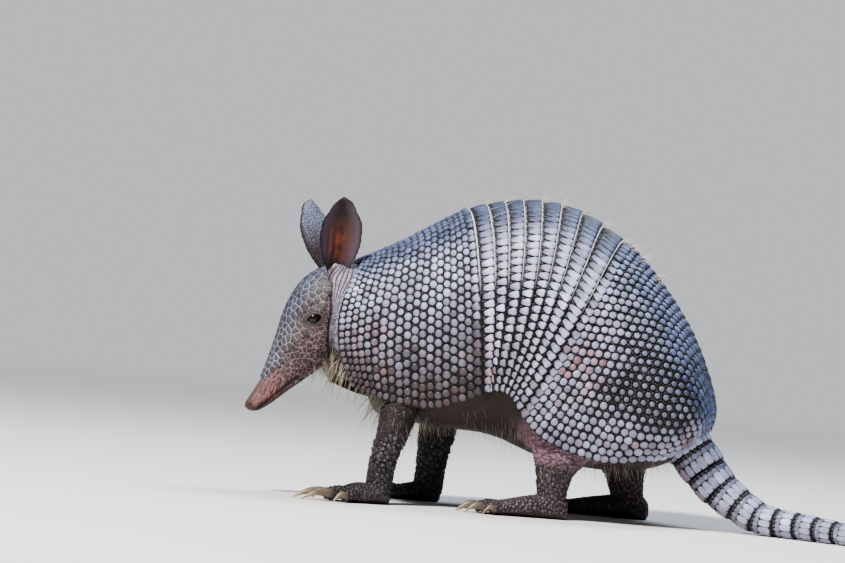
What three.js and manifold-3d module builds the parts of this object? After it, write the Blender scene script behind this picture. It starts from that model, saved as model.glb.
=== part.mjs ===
// A nine-banded armadillo with eight movable bands, life size. Its back is arched and its snout is low.
// Millimetres, +Z up. The head points to -X and the animal's left side to -Y. The floor is z = 0.
import * as THREE from "three";
import { ParametricGeometry } from "three/addons/geometries/ParametricGeometry.js";
import { mergeVertices } from "three/addons/utils/BufferGeometryUtils.js";
import Module from "manifold-3d";

const wasm = await Module();
wasm.setup();

// ---- Driving dimensions ----

const gap = 0.35; // clearance between pieces that meet
const shellThickness = 2.4;
const shingleStep = 1.0; // how far a band's front edge lies below the rear edge ahead of it
const bandCount = 8;
const marginAngle = 1.98; // radians from the ridge round to the shell's lower edge, just past its widest
const flankFullness = 0.92; // a power of the sine: below 1, the shell's sides are fuller than an ellipse's
const underShell = 1.5; // clearance between the shell's inside and the flesh
const bellyTuck = 7; // how far the flesh draws in behind the shell's edge

// The spine curves sideways towards -Y at both ends: its straightest place, its reach and its final heading.
const spineCurve = { middle: 25, reach: 105, headTurn: 0.33, rumpTurn: 0.24 };

// Sections of the body from the neck to the tail's root. Each gives [x, z] of the shell's ridge, of its lower
// edge and of the belly's keel, the half width, and how far the section's side bows towards the tail.
const bodyStations = [
  { ridge: [-80, 150], margin: [-85, 71], keel: [-84, 61], half: 33, bow: -15 },
  { ridge: [-56, 162.5], margin: [-60, 63.5], keel: [-56, 53], half: 46, bow: -8 },
  { ridge: [-34, 176], margin: [-31, 62], keel: [-26, 49], half: 54, bow: -4 },
  { ridge: [-14, 188], margin: [0, 73], keel: [2, 48], half: 60, bow: 0 },
  { ridge: [8.6, 194.5], margin: [7, 75.5], keel: [8, 47], half: 63.5, bow: 4 },
  { ridge: [32.4, 197], margin: [15.5, 75.5], keel: [14, 46], half: 65.5, bow: 7 },
  { ridge: [59, 191.8], margin: [22.5, 72], keel: [21, 44], half: 67, bow: 6 },
  { ridge: [86, 176], margin: [29, 64], keel: [29, 41], half: 67.5, bow: 5 },
  { ridge: [106.5, 157], margin: [49, 48], keel: [48, 35], half: 66.5, bow: 5 },
  { ridge: [129.5, 127], margin: [86, 38.5], keel: [84, 31], half: 61, bow: 5.5 },
  { ridge: [143, 99.5], margin: [115, 40.5], keel: [112, 34], half: 50, bow: 5.5 },
  { ridge: [150, 78], margin: [132, 46], keel: [128, 41], half: 33, bow: 3 },
  { ridge: [149.5, 63], margin: [140, 52], keel: [137, 48], half: 18, bow: 0 },
];
const firstBandStation = 3; // the scapular shield ends here
const lastBandStation = 7; // the pelvic shield starts here
const stationGap = 0.016; // of a station, between one band and the next
const stationLength = 12; // millimetres of a station where it is shortest
const trunkReach = [0.9, 11.6]; // stations where the flesh of the trunk starts and ends
const tuckStart = 1.3; // radians from the ridge, where the flesh starts to draw in

// The head's own axis runs from its middle to the snout's tip.
const headAxis = { from: [-90, 121], to: [-142.5, 52] };
// Distance along the axis, the outline above and below it, and the half width.
const headStations = [
  { along: -21, top: 12, bottom: -22, half: 12 },
  { along: -14, top: 20, bottom: -27, half: 18.5 },
  { along: -3, top: 25, bottom: -28, half: 21.5 },
  { along: 10, top: 25.5, bottom: -26.5, half: 21.5 },
  { along: 24, top: 22, bottom: -22.5, half: 19.5 },
  { along: 38, top: 15.8, bottom: -18.8, half: 15.8 },
  { along: 51, top: 10.3, bottom: -15.8, half: 12 },
  { along: 64, top: 5.4, bottom: -12.8, half: 9 },
  { along: 75, top: 3.2, bottom: -10.6, half: 7.2 },
  { along: 83, top: 2, bottom: -7.8, half: 6.2 },
  { along: 86.5, top: 0.6, bottom: -4.2, half: 4 },
];
const headAround = 18; // sides of the head's rings
const headShield = { from: 1, to: 7, sides: 6, thickness: 1.1 }; // it covers whole facets of the head

// The neck, from inside the shield to inside the head: middle [x, z], half height, half width.
const neckStations = [
  { middle: [-54, 107], tall: 40, half: 30, lean: 0.05 },
  { middle: [-68, 108], tall: 37, half: 29, lean: 0.05 },
  { middle: [-81, 109], tall: 35, half: 27.5, lean: 0.02 },
  { middle: [-91, 111], tall: 33.5, half: 25.5, lean: -0.05 },
  { middle: [-98, 111.5], tall: 29, half: 21, lean: -0.2 },
];

const eye = { along: 19.4, up: 8.7, out: 16.4, radius: 3.7 };

// An ear's greatest width, the depth of its hollow, its thickness, and how far its root sinks into the head.
const earSize = { wide: 26, cup: 6.5, thick: 1.6, sunk: 5 };
const earOutline = { root: 0.24, reach: 0.86, start: 0.08, power: 0.8 }; // part of a sine
const earTip = { from: 0.75, least: 0.03 }; // the share of its length where the tip rounds off
const earUnfold = 0.55; // share of the hollow's depth that is lost at the tip
// Each ear: its root, the way it points, the way its hollow faces, and its length.
const ears = {
  ear_left: { root: [-95, -10.5, 142], tip: [-2, -11, 43], faces: [-0.05, -1, -0.1], long: 46.5 },
  ear_right: { root: [-97, 10.5, 143.5], tip: [-12, 8, 38], faces: [-0.6, 1, 0], long: 43 },
};

// Paws, from the heel to the roots of the toes: x from the wrist, the half width and the half height.
const frontPaw = [[0, 10.5, 6.5], [-13, 12.5, 5.5], [-21, 11, 4.2]];
const hindPaw = [[4, 8.5, 8.5], [-16, 11, 7], [-34, 13, 5], [-42, 11.5, 3.8]];
const heel = { back: 7, narrower: 0.55, lower: 0.7 }; // the paw's rear end, from its first ring
const ankle = { z: 5, wide: 8, deep: 8.5 }; // the leg's lower end, inside the paw
// Limbs, from inside the body down to the wrist: x, y, z, then the half width and the half depth.
const legs = {
  leg_front_left: {
    path: [[-50, -30, 78, 13, 15], [-52, -33, 62, 12, 13.5], [-57, -37, 43, 10, 11], [-62, -38.5, 26, 9, 9]],
    wrist: [-64, -39, 6],
    paw: frontPaw,
    heading: 0.12,
  },
  leg_front_right: {
    path: [[-14, 31, 78, 13, 15], [-15, 34, 62, 12, 13.5], [-16.5, 38, 43, 10, 11], [-18, 39, 26, 9, 9]],
    wrist: [-19, 39.5, 6],
    paw: frontPaw,
    heading: -0.15,
  },
  leg_hind_left: {
    path: [[64, -33, 76, 20, 30], [62, -40, 56, 17, 26], [60, -44, 39, 14, 20], [56, -46, 25, 10, 12.5]],
    wrist: [56, -46.5, 8],
    paw: hindPaw,
    heading: 0.1,
  },
  leg_hind_right: {
    path: [[88, 33, 74, 19, 28], [90, 37, 55, 16, 23], [92, 40, 38, 12.5, 17], [95, 41, 24, 9.5, 11.5]],
    wrist: [99, 41, 8],
    paw: hindPaw,
    heading: -0.12,
  },
};
// Toes of a paw: place on the sole's front edge, reach, turn, radius and the claw's length.
const frontToes = [
  { across: -8.5, reach: 7, turn: -0.35, radius: 3.1, claw: 9 },
  { across: -3, reach: 13, turn: -0.08, radius: 3.9, claw: 19 },
  { across: 3.4, reach: 13, turn: 0.08, radius: 3.9, claw: 20 },
  { across: 8.8, reach: 7.5, turn: 0.35, radius: 3.1, claw: 10 },
];
const hindToes = [
  { across: -10.5, reach: 1, turn: -0.32, radius: 2.8, claw: 9 },
  { across: -5.6, reach: 9, turn: -0.14, radius: 3.4, claw: 13 },
  { across: 0, reach: 11.5, turn: 0, radius: 3.7, claw: 15 },
  { across: 5.7, reach: 9, turn: 0.14, radius: 3.4, claw: 13 },
  { across: 10.5, reach: 0, turn: 0.32, radius: 2.8, claw: 8 },
];
const solePress = 0.6; // how far a pad is pressed flat
const toeShape = { sunk: 5, thicker: 0.5, arch: 1.4, rootRise: 0.9, tipDrop: 0.2 };
const clawShape = { sunk: 1.5, rise: 0.9, share: 0.82, arch: 2.6, tip: 0.5, taper: 1.5 }; // share of the toe

// The tail's middle line, x, y, z, and its radius: down from the shell and then along the floor.
const tailPath = [
  [133, 0, 55, 15.5],
  [145, 0, 40.5, 14.6],
  [157, -1, 27.2, 13],
  [171.5, -3, 17.2, 11.4],
  [188, -7, 9.9, 9.9],
  [214, -16, 8.3, 8.3],
  [246, -31, 6.8, 6.8],
  [275, -52, 5.4, 5.4],
  [300, -79, 4, 4],
  [317, -110, 2.6, 2.6],
  [326, -141, 1.3, 1.3],
];
// Rings of the tail's armour: where the first one ends, and how long the next are, each one shorter.
// Every ring narrows towards the body by its taper, so that its rear edge stands proud.
const tailRings = { count: 11, firstEnd: 9, length: 15.5, shorter: 0.25, gap: 0.4, taper: 0.9 };

// ---- Curves and surfaces ----

const lerp = THREE.MathUtils.lerp;
const smooth = THREE.MathUtils.smoothstep;

// A smooth curve through equally spaced values, read at a fractional index.
function through(values, t) {
  const last = values.length - 1;
  const i = Math.min(Math.max(Math.floor(t), 0), last - 1);
  const f = t - i;
  const before = i > 0 ? values[i - 1] : 2 * values[i] - values[i + 1];
  const after = i + 2 <= last ? values[i + 2] : 2 * values[i + 1] - values[i];
  const rise = (values[i + 1] - before) / 2;
  const fall = (after - values[i]) / 2;
  const step = values[i + 1] - values[i];
  return values[i] + f * (rise + f * (3 * step - 2 * rise - fall + f * (rise + fall - 2 * step)));
}

// The sideways curve of the spine, which carries every piece of the animal with it.
function curveSideways([x, y, z]) {
  const { middle, reach, headTurn, rumpTurn } = spineCurve;
  const from = (x - middle) / reach;
  const turn = from < 0 ? headTurn : rumpTurn;
  const heading = -turn * Math.tanh(from);
  const side = -turn * reach * Math.log(Math.cosh(from));
  return [x - Math.sin(heading) * y, side + Math.cos(heading) * y, z];
}

const column = (name, i) => bodyStations.map((s) => (i === undefined ? s[name] : s[name][i]));
const bodyTables = {
  ridgeX: column("ridge", 0), ridgeZ: column("ridge", 1),
  marginX: column("margin", 0), marginZ: column("margin", 1),
  keelX: column("keel", 0), keelZ: column("keel", 1),
  half: column("half"), bow: column("bow"),
};

function bodyAt(t) {
  return Object.fromEntries(Object.entries(bodyTables).map(([name, values]) => [name, through(values, t)]));
}

// A point of the shell: station t, and side from -1 at the left edge over the ridge to 1 at the right edge.
function shellPoint(t, side) {
  const s = bodyAt(t);
  const angle = Math.abs(side) * marginAngle;
  const drop = (1 - Math.cos(angle)) / (1 - Math.cos(marginAngle));
  const x = lerp(s.ridgeX, s.marginX, drop) + 4 * s.bow * drop * (1 - drop);
  const z = lerp(s.ridgeZ, s.marginZ, drop);
  return [x, Math.sign(side) * s.half * Math.sin(angle) ** flankFullness, z];
}

// A point at a distance from a surface, along its normal: outwards where u x v points out.
function offsetFrom(surface, u, v, distance) {
  const step = 1e-3;
  const at = (du, dv) => new THREE.Vector3(...surface(u + du, v + dv));
  const along = at(step, 0).sub(at(-step, 0));
  const across = at(0, step).sub(at(0, -step));
  return at(0, 0).addScaledVector(along.cross(across).normalize(), distance).toArray();
}

// A point of the flesh under the shell: angle from the ridge (0) to the keel (pi), signed by side.
function trunkPoint(t, angle, grow) {
  const a = Math.abs(angle);
  const under = shellThickness + underShell - grow;
  const side = (Math.sign(angle) * Math.min(a, marginAngle)) / marginAngle;
  const [x, y, z] = offsetFrom(shellPoint, t, side, -under);
  const drawnIn = Math.abs(y) - bellyTuck * smooth(a, tuckStart, marginAngle);
  const below = (Math.max(0, a - marginAngle) / (Math.PI - marginAngle)) * (Math.PI / 2);
  const down = Math.sin(below);
  const { keelX, keelZ } = bodyAt(t);
  return [lerp(x, keelX, down), Math.sign(angle) * drawnIn * Math.cos(below), lerp(z, keelZ - grow, down)];
}

// ---- Solids ----

// A closed solid from a function of u and v. Corners that fall together are merged, and flat faces dropped.
function solidFrom(point, slices, stacks) {
  const skin = new ParametricGeometry((u, v, target) => target.set(...point(u, v)), slices, stacks);
  return solidOf(skin);
}

function solidOf(geometry) {
  geometry.deleteAttribute("normal");
  geometry.deleteAttribute("uv");
  const merged = mergeVertices(geometry, 1e-3);
  const corners = [];
  const index = merged.index.array;
  for (let i = 0; i < index.length; i += 3) {
    const [a, b, c] = [index[i], index[i + 1], index[i + 2]];
    if (a !== b && b !== c && c !== a) corners.push(a, b, c);
  }
  const asSolid = (triVerts) =>
    new wasm.Manifold(
      new wasm.Mesh({
        numProp: 3,
        vertProperties: Float32Array.from(merged.attributes.position.array),
        triVerts: Uint32Array.from(triVerts),
      }),
    );
  const made = asSolid(corners);
  return made.volume() < 0 ? asSolid(corners.reverse()) : made;
}

// A plate that follows a surface from u0 to u1 and v0 to v1, between two offsets along the surface's normal.
function plate(surface, [u0, u1], [v0, v1], outer, inner, rows, columns) {
  // Round the plate's own section: over the outside and back along the inside. Its ends close to a line.
  const point = (p, q) => {
    const ring = Math.round(p * (rows + 2));
    const row = Math.min(Math.max(ring - 1, 0), rows) / rows;
    const outside = q < 0.5;
    const turn = outside ? q * 2 : 2 - q * 2;
    const atEdge = ring === 0 || ring === rows + 2 || turn < 1e-9 || turn > 1 - 1e-9;
    const top = outer(row);
    const offset = atEdge ? (top + inner) / 2 : outside ? top : inner;
    return curveSideways(offsetFrom(surface, lerp(u0, u1, row), lerp(v0, v1, turn), offset));
  };
  return solidFrom(point, rows + 2, columns * 2);
}

// A closed tube through rings. ring(u, angle) gives a point, and its two ends close to their middles.
function tube(ring, slices, around, open = (p) => p) {
  const count = slices + 2;
  const point = (p, q) => {
    const i = Math.round(p * count);
    const u = Math.min(Math.max(i - 1, 0), slices) / slices;
    const angle = (q % 1) * 2 * Math.PI;
    if (i > 0 && i < count) return open(ring(u, angle));
    const [a, b] = [ring(u, 0), ring(u, Math.PI)];
    return open(a.map((value, k) => (value + b[k]) / 2));
  };
  return solidFrom(point, count, around);
}

const meshOf = (name, solid, material) => {
  const { vertProperties, triVerts } = solid.getMesh();
  const geometry = new THREE.BufferGeometry()
    .setAttribute("position", new THREE.BufferAttribute(vertProperties, 3))
    .setIndex(new THREE.BufferAttribute(triVerts, 1));
  geometry.computeVertexNormals();
  const mesh = new THREE.Mesh(geometry, material);
  mesh.name = name;
  return mesh;
};

const less = (solid, ...others) => others.flat(2).reduce((left, other) => left.subtract(other), solid);
// The largest piece of a cut solid, without the slivers that a cut leaves.
const mainPiece = (solid) => solid.decompose().sort((a, b) => b.volume() - a.volume())[0];

const floorBox = solidOf(new THREE.BoxGeometry(1200, 800, 100).translate(0, 0, -50));

// ---- The shell ----

function shellPlate(t0, t1, rows, columns, front = 0, grow = 0) {
  const reach = grow / stationLength; // the same clearance in stations, and half of it in side
  return plate(
    shellPoint,
    [t0 - reach, t1 + reach],
    [-1 - reach / 2, 1 + reach / 2],
    (row) => grow - front * (1 - row), // the front edge lies lower by the step
    -shellThickness - grow,
    rows,
    columns,
  );
}

function trunk(grow) {
  const longer = grow / stationLength;
  const ring = (u, angle) => {
    const t = lerp(trunkReach[0] - longer, trunkReach[1] + longer, u);
    return trunkPoint(t, angle > Math.PI ? angle - 2 * Math.PI : angle, grow);
  };
  return tube(ring, 13, 16, curveSideways);
}

// ---- The head and neck ----

const headLength = Math.hypot(headAxis.to[0] - headAxis.from[0], headAxis.to[1] - headAxis.from[1]);
const headForward = [0, 1].map((i) => (headAxis.to[i] - headAxis.from[i]) / headLength);
const headUp = [headForward[1], -headForward[0]];
const headPoint = (along, up, y) => [
  headAxis.from[0] + headForward[0] * along + headUp[0] * up,
  y,
  headAxis.from[1] + headForward[1] * along + headUp[1] * up,
];

// A point of the head: station t, and angle from the crown (0) round to the throat (pi).
function headSurface(t, angle, grow = 0) {
  const [along, top, bottom, half] = ["along", "top", "bottom", "half"].map((name) =>
    through(headStations.map((s) => s[name]), t),
  );
  const middle = lerp(top, bottom, 0.5);
  const tall = (top - bottom) / 2 + grow;
  const longer = lerp(-grow, grow, t / (headStations.length - 1));
  return headPoint(along + longer, middle + tall * Math.cos(angle), (half + grow) * Math.sin(angle));
}

function head(grow) {
  const rings = headStations.length - 1;
  return tube((u, angle) => headSurface(u * rings, angle, grow), rings, headAround, curveSideways);
}

function headPlate() {
  const halfAngle = (headShield.sides / headAround) * Math.PI;
  return plate(
    (t, angle) => headSurface(t, -angle),
    [headShield.from, headShield.to],
    [-halfAngle, halfAngle],
    () => headShield.thickness + gap,
    gap,
    headShield.to - headShield.from,
    headShield.sides,
  );
}

function neckPoint(u, angle, grow) {
  const at = (pick) => through(neckStations.map(pick), u * (neckStations.length - 1));
  const up = (at((s) => s.tall) + grow) * Math.cos(angle);
  const x = at((s) => s.middle[0]) + up * at((s) => s.lean);
  const y = (at((s) => s.half) + grow) * Math.sin(angle);
  return [x, y, at((s) => s.middle[1]) + up];
}

const neck = (grow) => tube((u, angle) => neckPoint(u, angle, grow), 4, 16, curveSideways);

const eyeball = (sideSign, grow) => {
  const [x, y, z] = curveSideways(headPoint(eye.along, eye.up, sideSign * eye.out));
  return solidOf(new THREE.SphereGeometry(eye.radius + grow, 9, 6).translate(x, y, z));
};

// An ear is a cupped leaf: narrow at its root, widest below its middle, and blunt at its tip.
function ear({ root, tip, faces, long }, grow) {
  const up = new THREE.Vector3(...tip).normalize();
  const out = new THREE.Vector3(...faces);
  out.addScaledVector(up, -out.dot(up)).normalize();
  const across = new THREE.Vector3().crossVectors(out, up);
  const thick = earSize.thick / 2 + grow;
  const ring = (u, angle) => {
    const along = lerp(-earSize.sunk - grow, long + grow, u);
    const share = Math.max(along, 0) / long;
    const bulge = Math.sin(Math.PI * (share * earOutline.reach + earOutline.start)) ** earOutline.power;
    const rounding = Math.max(0, (share - earTip.from) / (1 - earTip.from));
    const taper = Math.sqrt(Math.max(earTip.least, 1 - rounding ** 2));
    const half = (earSize.wide / 2) * lerp(earOutline.root, 1, bulge) * taper;
    const sideways = (half + grow) * Math.cos(angle);
    const fold = earSize.cup * (1 - (sideways / half) ** 2) * (1 - earUnfold * share);
    const depth = thick * Math.sin(angle) - fold;
    const p = new THREE.Vector3(...root).addScaledVector(up, along);
    return p.addScaledVector(across, sideways).addScaledVector(out, depth).toArray();
  };
  return tube(ring, 7, 12, curveSideways);
}

// ---- Legs, paws and claws ----

// A tube along a path, with a half width across the body and a half depth along it.
function limbTube(path, grow, slices = 5, around = 10) {
  const ring = (u, angle) => {
    const t = u * (path.length - 1);
    const [x, y, z, wide, deep] = [0, 1, 2, 3, 4].map((i) => through(path.map((p) => p[i]), t));
    return [x + (deep + grow) * Math.cos(angle), y + (wide + grow) * Math.sin(angle), z];
  };
  return tube(ring, slices, around, curveSideways);
}

const turned = ([x, y, z], [wx, wy, wz], heading) => {
  const [c, s] = [Math.cos(heading), Math.sin(heading)];
  return [wx + c * x - s * y, wy + s * x + c * y, wz + z];
};

// A paw's pad: rings upright across the sole, from the heel to the roots of the toes, flat beneath.
function pawPad({ wrist, paw, heading }, grow) {
  const [[x0, wide0, tall0]] = paw;
  const rings = [[x0 + heel.back, wide0 * heel.narrower, tall0 * heel.lower], ...paw];
  const ring = (u, angle) => {
    const [x, wide, tall] = [0, 1, 2].map((i) => through(rings.map((r) => r[i]), u * (rings.length - 1)));
    const z = (tall + grow) * Math.sin(angle) + tall - wrist[2] - solePress;
    return turned([x, (wide + grow) * Math.cos(angle), z], wrist, heading);
  };
  return tube(ring, 4, 10, curveSideways);
}

// A toe or a claw: a small tube from one point to another, which arches up between them.
function digit({ wrist, heading }, from, to, { radius, tipRadius, arch, slices }, grow) {
  const [dx, dy, dz] = to.map((value, i) => value - from[i]);
  const longer = grow / Math.hypot(dx, dy, dz);
  const flat = Math.hypot(dx, dy);
  const across = [-dy / flat, dx / flat];
  const ring = (u, angle) => {
    const [x, y, z] = from.map((value, i) => lerp(value, to[i], u + longer * (2 * u - 1)));
    const r = lerp(radius, tipRadius, u ** clawShape.taper) + grow;
    const out = r * Math.cos(angle);
    const up = r * Math.sin(angle) + arch * Math.sin(Math.PI * u);
    return turned([x + across[0] * out, y + across[1] * out, z + up], wrist, heading);
  };
  return tube(ring, slices, 6, curveSideways);
}

const toesOf = (leg) => (leg.paw === frontPaw ? frontToes : hindToes);

// Where a toe starts inside the pad and where it ends, from the wrist.
function toeEnds(leg, { across, reach, turn, radius }) {
  const x = leg.paw[leg.paw.length - 1][0] + toeShape.sunk;
  const length = reach + toeShape.sunk;
  const z = radius - leg.wrist[2];
  const tip = [x - length * Math.cos(turn), across + length * Math.sin(turn), z - toeShape.tipDrop];
  return { base: [x, across, z + toeShape.rootRise], tip };
}

function toe(leg, shape, grow) {
  const { base, tip } = toeEnds(leg, shape);
  const radius = shape.radius + toeShape.thicker;
  return digit(leg, base, tip, { radius, tipRadius: shape.radius, arch: toeShape.arch, slices: 2 }, grow);
}

function claw(leg, shape) {
  const { claw: length, turn } = shape;
  const [x, y, z] = toeEnds(leg, shape).tip;
  const from = [x + clawShape.sunk, y, z + clawShape.rise];
  const to = [x - length * Math.cos(turn), y + length * Math.sin(turn), clawShape.tip - leg.wrist[2]];
  const radius = shape.radius * clawShape.share;
  return digit(leg, from, to, { radius, tipRadius: clawShape.tip, arch: clawShape.arch, slices: 3 }, 0);
}

function legSolid(leg, grow = 0) {
  const [x, y] = leg.wrist;
  const path = [...leg.path, [x, y, ankle.z, ankle.wide, ankle.deep]];
  const toes = toesOf(leg).map((shape) => toe(leg, shape, grow));
  return [pawPad(leg, grow), ...toes].reduce((all, piece) => all.add(piece), limbTube(path, grow));
}

// ---- The tail ----

function tailFrame(t) {
  const at = (time) => new THREE.Vector3(...[0, 1, 2].map((i) => through(tailPath.map((p) => p[i]), time)));
  const forward = at(t + 0.01).sub(at(t - 0.01)).normalize();
  const across = new THREE.Vector3().crossVectors(new THREE.Vector3(0, 0, 1), forward).normalize();
  const up = new THREE.Vector3().crossVectors(forward, across);
  return { middle: at(t), across, up, radius: through(tailPath.map((p) => p[3]), t) };
}

// The station of the tail's path that lies a given length along it.
function tailStation(length) {
  const step = 0.01;
  let t = 0;
  for (let gone = 0; gone < length; t += step) {
    gone += tailFrame(t).middle.distanceTo(tailFrame(t + step).middle);
  }
  return t;
}

function tailPiece(t0, t1, slices, around, proud) {
  const ring = (u, angle) => {
    const { middle, across, up, radius } = tailFrame(lerp(t0, t1, u));
    const r = radius - proud * (1 - u);
    middle.addScaledVector(across, r * Math.cos(angle)).addScaledVector(up, r * Math.sin(angle));
    return middle.toArray();
  };
  return tube(ring, slices, around, curveSideways);
}

// ---- Colours ----

const material = (color, roughness) => new THREE.MeshStandardMaterial({ color, roughness, metalness: 0 });
const shellMaterial = material("#8d8990", 0.5);
const skinMaterial = material("#9a7f78", 0.75);
const earMaterial = material("#4a3a3d", 0.7);
const clawMaterial = material("#b9a78f", 0.45);
const eyeMaterial = material("#0d0a0a", 0.1);

// ---- Assembly ----

const armadillo = new THREE.Group();
const keep = (name, solid, look) => armadillo.add(meshOf(name, solid, look));

const bandStation = (i) => lerp(firstBandStation, lastBandStation, i / bandCount);

const shellCuts = []; // the same plates, larger by the gap, to cut what comes up against them
function keepPlate(name, t0, t1, rows, front) {
  keep(name, shellPlate(t0, t1, rows, 14, front), shellMaterial);
  shellCuts.push(shellPlate(t0, t1, rows, 14, front, 2 * gap));
}

keepPlate("scapular_shield", 0, firstBandStation - stationGap, 5, 0);
for (let i = 0; i < bandCount; i++) {
  keepPlate(`band_${i + 1}`, bandStation(i), bandStation(i + 1) - stationGap, 1, shingleStep);
}
keepPlate("pelvic_shield", lastBandStation, bodyStations.length - 1, 7, 0);

const eyes = { eye_left: -1, eye_right: 1 };
const sockets = Object.values(eyes).map((side) => eyeball(side, gap));
for (const [name, side] of Object.entries(eyes)) keep(name, eyeball(side, 0), eyeMaterial);

const earCuts = Object.values(ears).map((shape) => ear(shape, 3 * gap));
const headCut = head(gap);
keep("head", mainPiece(less(head(0), sockets)), skinMaterial);
keep("head_shield", mainPiece(less(headPlate(), earCuts)), shellMaterial);
for (const [name, shape] of Object.entries(ears)) {
  keep(name, mainPiece(less(ear(shape, 0), headCut)), earMaterial);
}

const trunkCut = trunk(gap);
keep("neck", mainPiece(less(neck(0), headCut, trunkCut, earCuts, shellCuts)), skinMaterial);
keep("trunk", trunk(0), skinMaterial);

let tailLength = 0;
for (let i = 0; i < tailRings.count; i++) {
  const end = tailLength + (i === 0 ? tailRings.firstEnd : tailRings.length - i * tailRings.shorter);
  const ring = tailPiece(tailStation(tailLength), tailStation(end - tailRings.gap), 1, 12, tailRings.taper);
  keep(`tail_ring_${i + 1}`, mainPiece(less(ring, i < 2 ? [shellCuts, trunkCut] : floorBox)), shellMaterial);
  tailLength = end;
}
const tip = tailPiece(tailStation(tailLength), tailPath.length - 1, 7, 10, 0);
keep("tail_tip", less(tip, floorBox), shellMaterial);

for (const [name, leg] of Object.entries(legs)) {
  const cut = less(legSolid(leg), trunkCut, shellCuts, floorBox);
  keep(name, mainPiece(cut), skinMaterial);
  const grown = legSolid(leg, gap);
  toesOf(leg).forEach((shape, i) => {
    const clawName = `${name.replace("leg", "claw")}_${i + 1}`;
    keep(clawName, mainPiece(less(claw(leg, shape), grown, floorBox)), clawMaterial);
  });
}

// The origin is on the floor, under the middle of the animal's box.
const middle = new THREE.Box3().setFromObject(armadillo).getCenter(new THREE.Vector3());
armadillo.position.set(-middle.x, -middle.y, 0);

export default armadillo;
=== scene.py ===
# A life-size nine-banded armadillo: one skin, armour of plates with horny scutes, eyes, claws and hair.
import math
import bpy
import bmesh
import numpy as np
from mathutils import Matrix, Vector, kdtree, noise


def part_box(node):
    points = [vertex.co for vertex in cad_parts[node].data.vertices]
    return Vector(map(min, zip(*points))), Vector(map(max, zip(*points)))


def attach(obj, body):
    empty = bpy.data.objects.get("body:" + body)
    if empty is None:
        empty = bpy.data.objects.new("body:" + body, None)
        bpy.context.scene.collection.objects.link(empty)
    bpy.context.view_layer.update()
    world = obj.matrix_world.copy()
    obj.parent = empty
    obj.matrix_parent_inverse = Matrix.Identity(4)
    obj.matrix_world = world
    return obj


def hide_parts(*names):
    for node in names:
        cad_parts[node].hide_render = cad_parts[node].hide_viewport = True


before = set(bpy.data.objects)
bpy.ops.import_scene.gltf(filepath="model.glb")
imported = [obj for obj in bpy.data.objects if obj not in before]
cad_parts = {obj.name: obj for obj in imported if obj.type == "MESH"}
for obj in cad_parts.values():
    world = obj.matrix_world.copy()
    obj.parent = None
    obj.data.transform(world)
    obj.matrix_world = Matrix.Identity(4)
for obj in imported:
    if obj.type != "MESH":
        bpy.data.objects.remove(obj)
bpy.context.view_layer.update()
random = np.random.default_rng(21)
scene = bpy.context.scene

# the body's own shape, in millimetres, as the frame has it

spine = {"middle": 25, "reach": 105, "headTurn": 0.33, "rumpTurn": 0.24}
body = {  # sections from the neck to the tail's root
    "ridgeX": [-80, -56, -34, -14, 8.6, 32.4, 59, 86, 106.5, 129.5, 143, 150, 149.5],
    "ridgeZ": [150, 162.5, 176, 188, 194.5, 197, 191.8, 176, 157, 127, 99.5, 78, 63],
    "marginX": [-85, -60, -31, 0, 7, 15.5, 22.5, 29, 49, 86, 115, 132, 140],
    "marginZ": [71, 63.5, 62, 73, 75.5, 75.5, 72, 64, 48, 38.5, 40.5, 46, 52],
    "keelX": [-84, -56, -26, 2, 8, 14, 21, 29, 48, 84, 112, 128, 137],
    "keelZ": [61, 53, 49, 48, 47, 46, 44, 41, 35, 31, 34, 41, 48],
    "half": [33, 46, 54, 60, 63.5, 65.5, 67, 67.5, 66.5, 61, 50, 33, 18],
    "bow": [-15, -8, -4, 0, 4, 7, 6, 5, 5, 5, 5.5, 3, 0],
}
shell = {
    "marginAngle": 1.98, "fullness": 0.92, "thickness": 2.4, "bands": 8,
    "bandFrom": 3, "bandTo": 7, "end": 12, "slit": 0.016, "step": 1.0, "spared": 0.7,
}
flesh = {"under": 1.5, "tuck": 7, "tuckStart": 1.3}
head = {
    "from": (-90, 121), "to": (-142.5, 52),
    "along": [-21, -14, -3, 10, 24, 38, 51, 64, 75, 83, 86.5],
    "top": [12, 20, 25, 25.5, 22, 15.8, 10.3, 5.4, 3.2, 2, 0.6],
    "bottom": [-22, -27, -28, -26.5, -22.5, -18.8, -15.8, -12.8, -10.6, -7.8, -4.2],
    "half": [12, 18.5, 21.5, 21.5, 19.5, 15.8, 12, 9, 7.2, 6.2, 4],
    "lips": (-4.9, -9.6), "nostril": (84.9, -0.6),
}
eye = {
    "along": 19.4, "up": 8.7, "out": 16.4, "radius": 3.7, "tilt": 0.57, "slit": (3.75, 2.5), "socket": 1.1,
    "near": 8,  # how far about it the lids reach
}


def through(values, t):  # a smooth curve through equally spaced values
    values, t = np.asarray(values, float), np.asarray(t, float)
    last = len(values) - 1
    i = np.clip(np.floor(t).astype(int), 0, last - 1)
    f = t - i
    a, b = values[i], values[i + 1]
    before = np.where(i > 0, values[np.maximum(i - 1, 0)], 2 * a - b)
    after = np.where(i + 2 <= last, values[np.minimum(i + 2, last)], 2 * b - a)
    rise, fall, step = (b - before) / 2, (after - a) / 2, b - a
    return a + f * (rise + f * (3 * step - 2 * rise - fall + f * (rise + fall - 2 * step)))


def stack(*parts):  # x, y and z arrays to points
    return np.stack(np.broadcast_arrays(*parts), -1).astype(float)


def mix(a, b, f):
    return a + (b - a) * f


def smooth(low, high, x):
    f = np.clip((np.asarray(x, float) - low) / (high - low), 0, 1)
    return f * f * (3 - 2 * f)


def unit(v):
    return v / np.maximum(np.linalg.norm(v, axis=-1, keepdims=True), 1e-12)


def length(v):
    return np.linalg.norm(v, axis=-1)


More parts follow.
